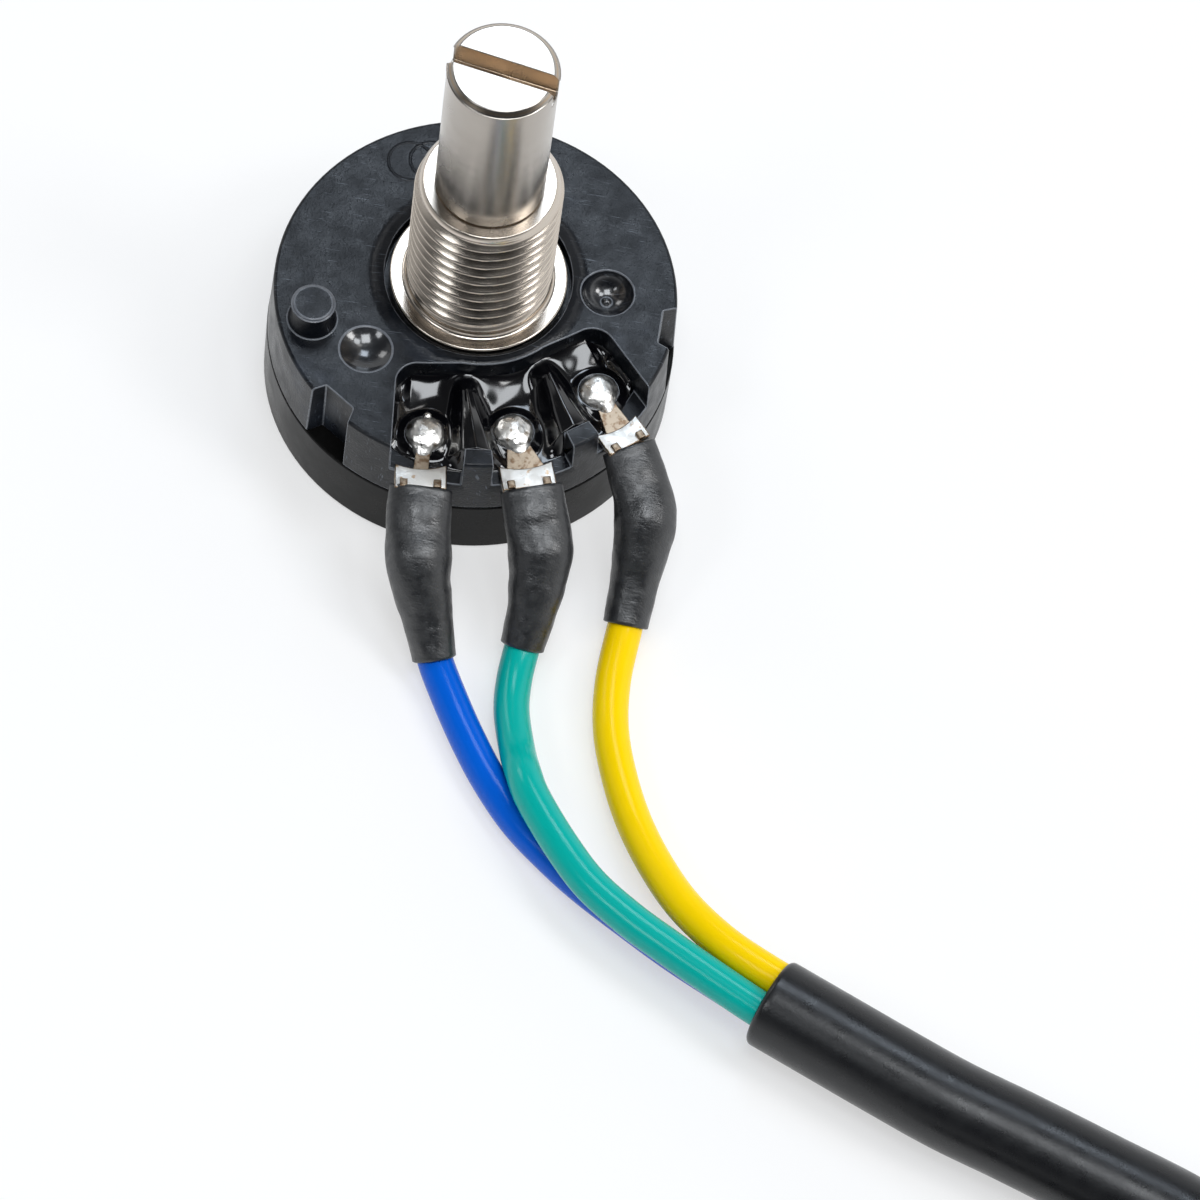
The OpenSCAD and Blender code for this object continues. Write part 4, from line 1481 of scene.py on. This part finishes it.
    def _strand(self, tip: np.ndarray, way: np.ndarray, index: int) -> np.ndarray:
        """One strand of a bare end.

        Args:
            tip: Where the insulation stops.
            way: Direction of the core there.
            index: 0 for the middle strand, and from 1 for those round it.

        Returns:
            The strand's line.
        """
        side = np.cross(way, UP)
        side /= np.linalg.norm(side)
        up = np.cross(side, way)
        radius = self.strand_gap if index else 0.0
        apart = 360 / (self.strands - 1)
        points = []
        for t in np.linspace(*self.strand_reach, self.strand_points):
            angle = math.radians(apart * index + self.strand_twist * t)
            points.append(tip + way * t + radius * (math.cos(angle) * side + math.sin(angle) * up))
        return np.array(points)

    @staticmethod
    def _joined(first: Piece, second: Piece) -> Piece:
        """Joins a second mesh into a first, keeping both finishes.

        Args:
            first: The piece that stays.
            second: The piece that goes into it.

        Returns:
            The first piece.
        """
        shape = bmesh.new()
        shape.from_mesh(first.data)
        before = len(shape.faces)
        shape.from_mesh(second.data)
        material = second.data.materials[0]
        if material.name not in first.data.materials:
            first.data.materials.append(material)
        number = first.data.materials.find(material.name)
        shape.faces.ensure_lookup_table()
        for face in shape.faces[before:]:
            face.material_index = number
        shape.to_mesh(first.data)
        shape.free()
        bpy.data.objects.remove(second)
        return first


def sleeve_set() -> list[Sleeve]:
    """The three sleeves, from left to right.

    Returns:
        The sleeves.
    """
    return [
        Sleeve(
            Side.LEFT,
            [(-1.2, -13.4, 6.9), (-1.1, -15, 6.2), (-0.7, -17, 5), (-0.2, -18.4, 3.8), (0.5, -19.8, 2.6),
             (1.1, -21.3, 1.45)],
            (1.85, 1.9, 1.95, 1.7, 1.42, 1.33), 1.3,
        ),
        Sleeve(
            Side.MIDDLE,
            [(5.05, -12.2, 6.9), (5.6, -13.7, 6.1), (6.1, -15, 5.1), (6.25, -16.5, 3.9), (6.2, -18, 2.7),
             (6, -19.6, 1.45)],
            (1.85, 1.9, 1.95, 1.65, 1.42, 1.33), 7.9,
        ),
        Sleeve(
            Side.RIGHT,
            [(10.25, -8.5, 6.9), (11.1, -10, 6.1), (11.8, -11.5, 5.1), (11.9, -13.3, 3.8),
             (11.8, -15.1, 2.6), (11.7, -17.1, 1.45)],
            (1.6, 1.75, 1.85, 1.6, 1.42, 1.33), 15.2,
        ),
    ]


# Housing, bushing and shaft


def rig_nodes() -> dict[str, Piece]:
    """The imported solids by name."""
    return {o["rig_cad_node"]: o for o in bpy.data.objects if "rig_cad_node" in o}


@dataclass
class Shells:
    """Front housing and rear cover.

    Attributes:
        edge: Width of the rounding on their edges.
    """

    edge: float = 0.07

    def build(self) -> None:
        """Rounds the moulded edges of both shells."""
        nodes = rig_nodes()
        front = bevelled_copy(nodes["front_housing"], "molded_front", self.edge, HOUSING_PLASTIC)
        # The front housing's rounded edges take the lighter grey finish, a painted edge highlight.
        front.data.materials.append(PAINTED_EDGE_HIGHLIGHT.build())
        front.modifiers["edges"].material = 1
        finish_piece(front, Body.HOUSING, HOUSING_PLASTIC, "front_housing")
        cover = bevelled_copy(nodes["rear_cover"], "molded_cover", self.edge, COVER_PLASTIC)
        finish_piece(cover, Body.HOUSING, COVER_PLASTIC, "rear_cover")


@dataclass
class Bushing:
    """Threaded bushing with its flange.

    Attributes:
        foot: Radius, height and share of the thread's depth in each row up to the thread.
        lead: The same for each row from the thread over the end face to the bore.
        thread: Heights between which the thread has its rows.
        row_step: Height of a row of the thread.
        major: Radius at the thread's crests.
        chamfer: Height where the lead chamfer starts, and its slope.
        depth: Depth of the thread.
        run_in: Height over which the thread reaches its depth.
        run_out: Height over which it ends, and the height of its end.
        pitch: Distance between neighbouring crests.
        crest: Where a crest's rounding ends, as a share of half a pitch.
        flank: Width of a flank, as a share of half a pitch.
        flank_power: How hollow a flank is.
        root: Where on the flank the root starts, its depth there and what its rounding adds.
        root_rate: How fast the root rounds off, in half turns of a sine.
        steps: Points round the bushing.
    """

    foot: tuple[Triple, ...] = (
        (3.03, 4.85, 0.0), (4.1, 4.85, 0.0), (4.1, 8.3, 0.0), (5.2, 8.3, 0.0), (5.2, 9.3, 0.0),
        (5.17, 9.37, 0.0), (5.11, 9.4, 0.0), (5.09, 9.4, 0.0), (4.52, 9.4, 0.0), (4.49, 9.4, 0.0),
        (4.38, 9.44, 0.0), (4.3, 9.54, 0.0), (4.2, 9.75, 0.0),
    )
    lead: tuple[Triple, ...] = (
        (4.12, 19.2, 0.2), (3.95, 19.4, 0.0), (3.85, 19.52, 0.0), (3.81, 19.55, 0.0),
        (3.79, 19.55, 0.0), (3.16, 19.55, 0.0), (3.13, 19.55, 0.0), (3.03, 19.45, 0.0),
    )
    thread: tuple[float, float] = (9.95, 19.05)
    row_step: float = 0.05
    major: float = 4.3
    chamfer: tuple[float, float] = (18.95, 0.7)
    depth: float = 0.46
    run_in: float = 0.55
    run_out: tuple[float, float] = (0.3, 19.25)
    pitch: float = 0.9
    crest: float = 0.9
    flank: float = 0.78
    flank_power: float = 0.85
    root: Triple = (0.9, 0.915, 0.085)
    root_rate: float = 5.0
    steps: int = 192

    def build(self) -> None:
        """Turns the profile and cuts the thread into it."""
        heights = np.arange(*self.thread, self.row_step)
        rows = [*self.foot, *((self._barrel(z), float(z), self._share(z)) for z in heights), *self.lead]
        points = []
        for radius, z, share in rows:
            for k in range(self.steps):
                angle = 2 * math.pi * k / self.steps
                cut = self.depth * share * self._groove(z / self.pitch - k / self.steps)
                points.append(((radius - cut) * math.cos(angle), (radius - cut) * math.sin(angle), z))
        faces = grid_faces(len(rows), self.steps, around=True, closed=True)
        piece = make_piece("threaded_bushing", np.array(points), faces, NICKEL)
        finish_piece(piece, Body.HOUSING, NICKEL, "bushing")

    def _barrel(self, z: float) -> float:
        """Outer radius of the barrel at a height, with its lead chamfer."""
        start, slope = self.chamfer
        return self.major - max(0.0, z - start) * slope

    def _share(self, z: float) -> float:
        """How deep the thread is at a height, from 0 where it runs out to 1.

        Args:
            z: The height.

        Returns:
            The share of its full depth.
        """
        fade, end = self.run_out
        return float(np.clip((z - self.thread[0]) / self.run_in, 0, 1) * np.clip((end - z) / fade, 0, 1))

    def _groove(self, turn: float) -> float:
        """Depth of one groove across its pitch: narrow rounded crests and a rounded root.

        Args:
            turn: Place in the thread, where whole numbers are crests.

        Returns:
            0 at the crest and 1 at the root.
        """
        away = abs((turn % 1.0) - 0.5) * 2
        slope = float(np.clip((self.crest - away) / self.flank, 0, 1))
        start, depth, rest = self.root
        if slope < start:
            return slope ** self.flank_power
        return depth + rest * math.sin((slope - start) * self.root_rate * math.pi)


@dataclass
class Spindle:
    """Shaft, clip, rotor and wiper.

    Attributes:
        edge: Width of the rounding on the shaft's edges.
        finishes: Finish of each sealed piece.
    """

    edge: float = 0.05
    finishes: dict[str, Finish] = field(default_factory=lambda: {
        "retaining_clip": CLIP_STEEL, "rotor": ROTOR_PLASTIC, "wiper": SPRING_BRASS,
    })

    def build(self) -> None:
        """Rounds the shaft's edges and finishes what turns with it."""
        shaft = bevelled_copy(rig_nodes()["shaft"], "turned_shaft", self.edge, TURNED_STEEL)
        finish_piece(shaft, Body.SPINDLE, TURNED_STEEL, "shaft")
        dress(self.finishes)


@dataclass
class InnerParts:
    """What the closed housing holds: wafer, printed rings and thrust washer.

    Attributes:
        finishes: Finish of each piece.
    """

    finishes: dict[str, Finish] = field(default_factory=lambda: {
        "element_wafer": LAMINATE, "resistive_track": CARBON, "collector_ring": SILVER,
        "thrust_washer": NYLON,
    })

    def build(self) -> None:
        """Finishes the sealed pieces."""
        dress(self.finishes)


def dress(finishes: dict[str, Finish]) -> None:
    """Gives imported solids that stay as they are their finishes.

    Args:
        finishes: The finish of each solid.
    """
    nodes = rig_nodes()
    for name, finish in finishes.items():
        node = nodes[name]
        if not node.material_slots:
            node.data.materials.append(finish.build())
        for slot in node.material_slots:
            slot.material = finish.build()
        log.info("solid %s keeps its shape, finished as %s", name, finish.name)


# Tags, solder and potting


@dataclass
class Tag:
    """One solder tag with its solder drop.

    Attributes:
        side: Which of the three it is.
        joint: Radius and angle of the solder joint about the shaft.
        head_at: Middle of the head's inner edge.
        out: Direction of the head, in degrees.
        width: Width of the head.
        nub: Offset of a small bead of solder beside the drop, or None.
        edge: Width of the rounding on the tag's edges.
        length: Length of the head.
        head_z: Heights of the tinned plate's top and bottom.
        tin_edge: Width of the rounding on the plate's edges.
        lap: How far the plate laps over the head's sides.
        hollow: Depth of the hollow in its inner edge.
        hollow_steps: Points on each side of the hollow.
        widest: Where the head is widest.
        tail_end: Where the tail ends, from the head's inner edge.
        tail_slope: How steeply it goes down, in degrees.
        drop_radius: Radius of the drop.
        drop_z: Height of its middle.
        drop_rise: Its height as a share of its radius.
        drop_lean: How far its top leans back from the neck.
        drawn: How far the drop is drawn out towards the neck, how narrowly, and how steeply down.
        lumps: Depth and fineness of each layer of unevenness.
        bead: Radius of the small bead, and its height over the drop's middle.
    """

    side: Side
    joint: tuple[float, float]
    head_at: tuple[float, float]
    out: float
    width: float
    nub: tuple[float, float] | None = None
    edge: float = 0.05
    length: float = 1.57
    head_z: tuple[float, float] = (7.43, 7.03)
    tin_edge: float = 0.07
    lap: float = 0.02
    hollow: float = 0.3
    hollow_steps: int = 8
    widest: float = 0.9
    tail_end: float = 2.3
    tail_slope: float = 22.0
    drop_radius: float = 1.12
    drop_z: float = 7.42
    drop_rise: float = 0.52
    drop_lean: float = 0.12
    drawn: tuple[float, int, float] = (0.5, 10, 0.75)
    lumps: tuple[tuple[float, float], ...] = ((0.06, 1.5), (0.03, 3.5), (0.008, 9.0))
    bead: tuple[float, float] = (0.26, 0.12)

    def build(self) -> None:
        """Builds the tag and its solder."""
        side = self.side.value
        tag = bevelled_copy(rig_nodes()["terminal_" + side], "tag_" + side, self.edge, TAG_BRONZE)
        self._tuck(tag)
        finish_piece(tag, Body.HOUSING, TAG_BRONZE, "terminal_" + side)
        self._head()
        self._drop()

    def _tuck(self, tag: Piece) -> None:
        """Shortens the tail, so that it ends deep inside the sleeve.

        Args:
            tag: The tag's piece.
        """
        way = Vector((*polar(1.0, self.out), -math.tan(math.radians(self.tail_slope))))
        for vertex in tag.data.vertices:
            offset = vertex.co / MM - Vector((*self.head_at, 0.0))
            past = offset.x * way.x + offset.y * way.y - self.tail_end
            if past > 0:
                vertex.co -= way * past * MM

    def _head(self) -> None:
        """The tinned plate on the tag's head, hollow towards the drop, with tan edges."""
        half, steps = self.width / 2 + self.lap, self.hollow_steps
        outline = [
            (self.hollow * (1 - (k / steps) ** 2) - self.lap, k * half / steps)
            for k in range(-steps, steps + 1)
        ]
        outline += [(self.widest, half + self.lap), (self.length, half)]
        outline += [(self.length, -half), (self.widest, -half - self.lap)]
        x, y = turned(*np.array(outline).T, self.out)
        flat = np.column_stack([x, y]) + self.head_at
        count = len(flat)
        points = np.vstack([np.column_stack([flat, np.full(count, z)]) for z in self.head_z])
        faces = [tuple(range(count)), tuple(reversed(range(count, 2 * count)))]
        faces += [(i, i + count, (i + 1) % count + count, (i + 1) % count) for i in range(count)]
        plate = make_piece("tag_head_" + self.side.value, points, faces, TAG_TIN)
        plate.data.materials.append(TAG_BRONZE.build())
        round_edges(plate, self.tin_edge, PLATE_ANGLE).material = 1
        finish_piece(plate, Body.HOUSING, TAG_TIN, "terminal_" + self.side.value)

    def _drop(self) -> None:
        """The solder drop: a dome drawn out towards the neck, a little uneven."""
        shape = bmesh.new()
        bmesh.ops.create_icosphere(shape, subdivisions=6, radius=1.0)
        middle = polar(*self.joint)
        centre = Vector((*middle, self.drop_z))
        reach, narrow, steep = self.drawn
        way_out = Vector((*(np.array(self.head_at) - middle), -steep)).normalized()
        for vertex in shape.verts:
            way = vertex.co.normalized()
            drawn = reach * max(0.0, way.dot(way_out)) ** narrow
            lump = sum(depth * noise.noise(way * finer + centre) for depth, finer in self.lumps)
            spot = way * self.drop_radius * (1 + drawn + lump)
            spot.z *= self.drop_rise
            back = max(0.0, spot.z) * self.drop_lean
            vertex.co = (centre + spot - Vector((way_out.x, way_out.y, 0.0)) * back) * MM
        if self.nub is not None:
            radius, lift = self.bead
            bump = bmesh.ops.create_icosphere(shape, subdivisions=4, radius=radius * MM)
            at = (centre + Vector((*self.nub, lift))) * MM
            bmesh.ops.translate(shape, verts=bump["verts"], vec=at)
        mesh = bpy.data.meshes.new("solder_drop_" + self.side.value)
        shape.to_mesh(mesh)
        shape.free()
        mesh.polygons.foreach_set("use_smooth", [True] * len(mesh.polygons))
        mesh.materials.append(SOLDER.build())
        finish_piece(add_object(mesh.name, mesh), Body.HOUSING, SOLDER, "solder_" + self.side.value)


@dataclass(frozen=True)
class Recess:
    """Plan of the tag recess, with u along its middle from the shaft and v across it.

    Attributes:
        angle: Direction of its middle line, in degrees.
        shift: How far the housing's centre lies behind the shaft.
        front: Reach of the resin from the housing's centre.
        inner: Radius of the round part of the inner wall.
        bend: Place where the inner wall turns straight.
        fall: How far the straight part falls back in a millimetre across, and the least u on it.
        fall_way: Direction across the straight part.
        spread: A place on the side wall, and how far the wall spreads in a millimetre.
        spread_way: Share of a distance across that lies square to the side wall.
        corner: Middle and radius of the rounded corners.
    """

    angle: float = -66.5
    shift: float = 1.0
    front: float = 11.0
    inner: float = 6.05
    bend: tuple[float, float] = (5.53, 2.46)
    fall: tuple[float, float] = (0.256, 4.85)
    fall_way: tuple[float, float] = (0.969, 0.248)
    spread: Triple = (5.74, 6.48, 0.331)
    spread_way: float = 0.949
    corner: Circle = (6.15, 5.25, 1.3)

    def half_width(self, u: np.ndarray | float) -> np.ndarray | float:
        """Half width at a distance along the recess."""
        at, half, slope = self.spread
        return half + slope * (u - at)

    def inner_u(self, beside: np.ndarray) -> np.ndarray:
        """Where the inner wall lies.

        Args:
            beside: Distances from the middle line.

        Returns:
            The wall's u at each.
        """
        bend_u, bend_v = self.bend
        slope, least = self.fall
        arc = np.sqrt(np.maximum(self.inner ** 2 - beside ** 2, 0))
        return np.where(beside < bend_v, arc, np.maximum(bend_u - slope * (beside - bend_v), least))

    def front_u(self, v: np.ndarray) -> np.ndarray:
        """Where the resin stops at the sill, on a circle about the housing's centre.

        Args:
            v: Places across the recess.

        Returns:
            The resin's last u at each.
        """
        across, along = -self.shift * polar(1.0, self.angle)
        return along + np.sqrt(self.front ** 2 - (v - across) ** 2)

    def walls(self, u: np.ndarray, v: np.ndarray) -> tuple[np.ndarray, np.ndarray, np.ndarray]:
        """How far the walls are.

        Args:
            u: Places along the recess.
            v: Places across it.

        Returns:
            Distances from the inner wall, from the side wall and from the nearest wall.
        """
        beside = np.abs(v)
        bend_u, bend_v = self.bend
        way_u, way_v = self.fall_way
        straight = (u - bend_u) * way_u + (beside - bend_v) * way_v
        inner = np.where(beside < bend_v, np.hypot(u, v) - self.inner, straight)
        flank = (self.half_width(u) - beside) * self.spread_way
        at_u, at_v, radius = self.corner
        corner = radius - np.hypot(u - at_u, beside - at_v)
        nearest = np.where((u < at_u) & (beside > at_v), corner, np.minimum(inner, flank))
        return inner, flank, nearest


@dataclass(frozen=True)
class Rib:
    """Plan of a wedge rib that leans on a parting block.

    Attributes:
        angle: Direction of the parting block, from the recess's middle line.
        start: Where the rib starts, from the shaft.
        length: Length over which it widens.
        half: Half width where it starts.
        widening: What its half width gains.
        lean: How far its start lies off its line.
        tip: Share of a distance before its start that counts.
        crest_decay: How fast its crest fades before its start.
    """

    angle: float = 15.0
    start: float = 7.22
    length: float = 4.5
    half: float = 0.14
    widening: float = 0.66
    lean: float = 0.63
    tip: float = 0.55
    crest_decay: float = 0.25

    def distance(self, u: np.ndarray, v: np.ndarray, side: int) -> tuple[np.ndarray, np.ndarray]:
        """How far the rib is, and how close its crest.

        Args:
            u: Places along the recess.
            v: Places across it.
            side: -1 for the left rib, 1 for the right.

        Returns:
            The distance, 0 over the rib, and a share from 0 at its edges to 1 on its crest.
        """
        along, beside = turned(u, v, -side * self.angle)
        share = np.clip((along - self.start) / self.length, 0, 1)
        half = self.half + self.widening * share
        offset = np.abs(beside - side * self.lean * (1 - share))
        short = np.maximum(self.start - along, 0)
        away = np.hypot(np.maximum(offset - half, 0), self.tip * short)
        return away, np.clip(1 - offset / half, 0, 1) * np.exp(-short / self.crest_decay)


@dataclass
class Potting:
    """Cast resin that fills the tag recess and climbs its walls, ribs and drops.

    Attributes:
        tags: The tags whose drops it climbs.
        recess: Plan of the recess.
        rib: Plan of the ribs.
        columns: Points across the recess.
        rows: Points from its inner wall to the sill.
        start_half: Half width of the first row.
        last_u: Where the last row's half width is taken.
        lap: How far the resin reaches into the walls.
        floor: Height of its underside.
        level: Height of its open surface.
        sill: Height that it stays under at the front.
        ramp: Reach of the slope before the inner wall, its steepness and its softness.
        ramp_wave: How its reach waves: by how much, how fast and from where.
        ramp_side: Distance from a side wall over which the slope fades, and the share that stays.
        climb: Height and width of the rise at a wall, and the rise that stays away from walls.
        climb_past: How far inside a wall the rise still grows.
        rib_climb: Height, width and sharpness of the rise at a rib.
        crest: Height that a rib's crest adds.
        mound: Radius, width and height of the mound under a drop.
        ring: Height, radius and width of the ring round a drop.
        ripple: Height of the surface's waves.
        ripple_ways: How fast each set of waves goes along X and Y, and from where.
        fade: Where the surface starts to go down to the sill, and over what width.
    """

    tags: Sequence[Tag]
    recess: Recess = Recess()
    rib: Rib = Rib()
    columns: int = 220
    rows: int = 130
    start_half: float = 6.9
    last_u: float = 10.5
    lap: float = 0.12
    floor: float = 6.15
    level: float = 6.72
    sill: float = 7.02
    ramp: Triple = (2.5, 0.4, 0.12)
    ramp_wave: Triple = (0.35, 1.1, 0.6)
    ramp_side: tuple[float, float] = (0.9, 0.4)
    climb: Triple = (0.42, 0.3, 0.3)
    climb_past: float = 0.15
    rib_climb: Triple = (1.52, 0.78, 1.6)
    crest: float = 0.2
    mound: Triple = (2.15, 0.9, 0.62)
    ring: Triple = (0.08, 1.2, 0.09)
    ripple: float = 0.03
    ripple_ways: tuple[Triple, ...] = ((1.9, 0.7, 0.0), (1.3, -2.1, 1.0))
    fade: tuple[float, float] = (10.2, 0.7)

    def build(self) -> None:
        """Builds the resin as one closed mesh."""
        s, t = np.meshgrid(np.linspace(-1, 1, self.columns), np.linspace(0, 1, self.rows))
        first = self.recess.inner_u(np.abs(self.start_half * s)) - self.lap
        last = self.recess.front_u(s * (self.recess.half_width(self.last_u) + self.lap))
        u = first + t * (last - first)
        v = s * (self.recess.half_width(u) + self.lap)
        x, y = turned(u, v, self.recess.angle)
        top = np.stack([x, y, self._height(u, v, x, y)], axis=-1).reshape(-1, 3)
        bottom = top.copy()
        bottom[:, 2] = self.floor
        faces = grid_faces(self.rows, self.columns)
        count = len(top)
        below = [tuple(reversed([i + count for i in face])) for face in faces]
        rim = self._rim()
        walls = [(a, b, b + count, a + count) for a, b in zip(rim, rim[1:] + rim[:1])]
        piece = make_piece("cast_resin", np.vstack([top, bottom]), [*faces, *below, *walls], RESIN)
        finish_piece(piece, Body.HOUSING, RESIN, "potting")

    def _rim(self) -> list[int]:
        """Numbers of the points on the grid's edge.

        Returns:
            The numbers, once round.
        """
        rows, columns = self.rows, self.columns
        first = list(range(columns))
        right = [r * columns + columns - 1 for r in range(1, rows)]
        last = [(rows - 1) * columns + c for c in range(columns - 2, -1, -1)]
        left = [r * columns for r in range(rows - 2, 0, -1)]
        return first + right + last + left

    def _height(self, u: np.ndarray, v: np.ndarray, x: np.ndarray, y: np.ndarray) -> np.ndarray:
        """Height of the resin's surface.

        Args:
            u: Places along the recess.
            v: Places across it.
            x: Places in the part's frame.
            y: Places in the part's frame.

        Returns:
            The height at each place.
        """
        inner, flank, nearest = self.recess.walls(u, v)
        rises = [self._ramp(inner, flank, x), self._climb(nearest)]
        height, width, sharp = self.rib_climb
        for side in (-1, 1):
            away, inside = self.rib.distance(u, v, side)
            rises.append(height * np.exp(-(away / width) ** sharp) + self.crest * inside)
        rises += [self._mound(tag, x, y) for tag in self.tags]
        ripple = self.ripple
        for along, across, at in self.ripple_ways:
            ripple = ripple * np.sin(along * x + across * y + at)
        z = self.level + sum(rise ** 3 for rise in rises) ** (1 / 3) + ripple
        start, width = self.fade
        fade = np.clip((np.hypot(x, y + self.recess.shift) - start) / width, 0, 1)
        return z * (1 - fade) + np.minimum(z, self.sill) * fade

    def _ramp(self, inner: np.ndarray, flank: np.ndarray, x: np.ndarray) -> np.ndarray:
        """Rise of the wide slope before the inner wall.

        Args:
            inner: Distances from the inner wall.
            flank: Distances from the side wall.
            x: Places in the part's frame.

        Returns:
            The rise at each place.
        """
        reach, steep, soft = self.ramp
        wave, rate, start = self.ramp_wave
        left = reach + wave * np.sin(rate * x + start) - inner
        width, least = self.ramp_side
        return steep * (0.5 * left + np.sqrt(0.25 * left ** 2 + soft)) * np.clip(flank / width, least, 1)

    def _climb(self, nearest: np.ndarray) -> np.ndarray:
        """Rise at the walls.

        Args:
            nearest: Distances from the nearest wall.

        Returns:
            The rise at each place.
        """
        height, width, rest = self.climb
        return height * np.exp(-np.maximum(nearest, -self.climb_past) / width) + rest

    def _mound(self, tag: Tag, x: np.ndarray, y: np.ndarray) -> np.ndarray:
        """Rise under a drop, with the ring that it leaves round itself.

        Args:
            tag: The drop's tag.
            x: Places in the part's frame.
            y: Places in the part's frame.

        Returns:
            The rise at each place.
        """
        joint_x, joint_y = polar(*tag.joint)
        away = np.hypot(x - joint_x, y - joint_y)
        radius, width, height = self.mound
        share = np.clip((radius - away) / width, 0, 1)
        rise, at, narrow = self.ring
        return height * share * share * (3 - 2 * share) + rise * np.exp(-((away - at) / narrow) ** 2)


def tags() -> list[Tag]:
    """The three tags, from left to right.

    Returns:
        The tags.
    """
    return [
        Tag(Side.LEFT, (10.2, -98.5), (-1.45, -12.15), -82.0, 2.95, nub=(-0.05, 1.12)),
        Tag(Side.MIDDLE, (9.65, -68.7), (4.5, -11.0), -72.0, 3.1),
        Tag(Side.RIGHT, (9.65, -34.0), (9.3, -7.45), -49.0, 2.7),
    ]


def write_sizes(before: Sequence[Sequence[float]], after: Sequence[Sequence[float]]) -> None:
    """Args:
        before: Box straight after loading.
        after: Box just before the end.
    """
    table = {
        "cad": [list(map(float, corner)) for corner in before],
        "visual": [list(map(float, corner)) for corner in after],
    }
    with open("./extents.json", "w", encoding="utf-8") as target:
        json.dump(table, target, indent=1)


def main() -> None:
    """Builds the studio and then every sub-assembly."""
    logging.basicConfig(level=logging.INFO, format="%(message)s")
    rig.load()
    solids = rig.bounds()
    Studio().build()
    Loom().build()
    Shells().build()
    Bushing().build()
    Spindle().build()
    InnerParts().build()
    made = tags()
    for tag in made:
        tag.build()
    Potting(made).build()
    write_sizes(solids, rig.bounds())


if __name__ == "__main__":
    main()
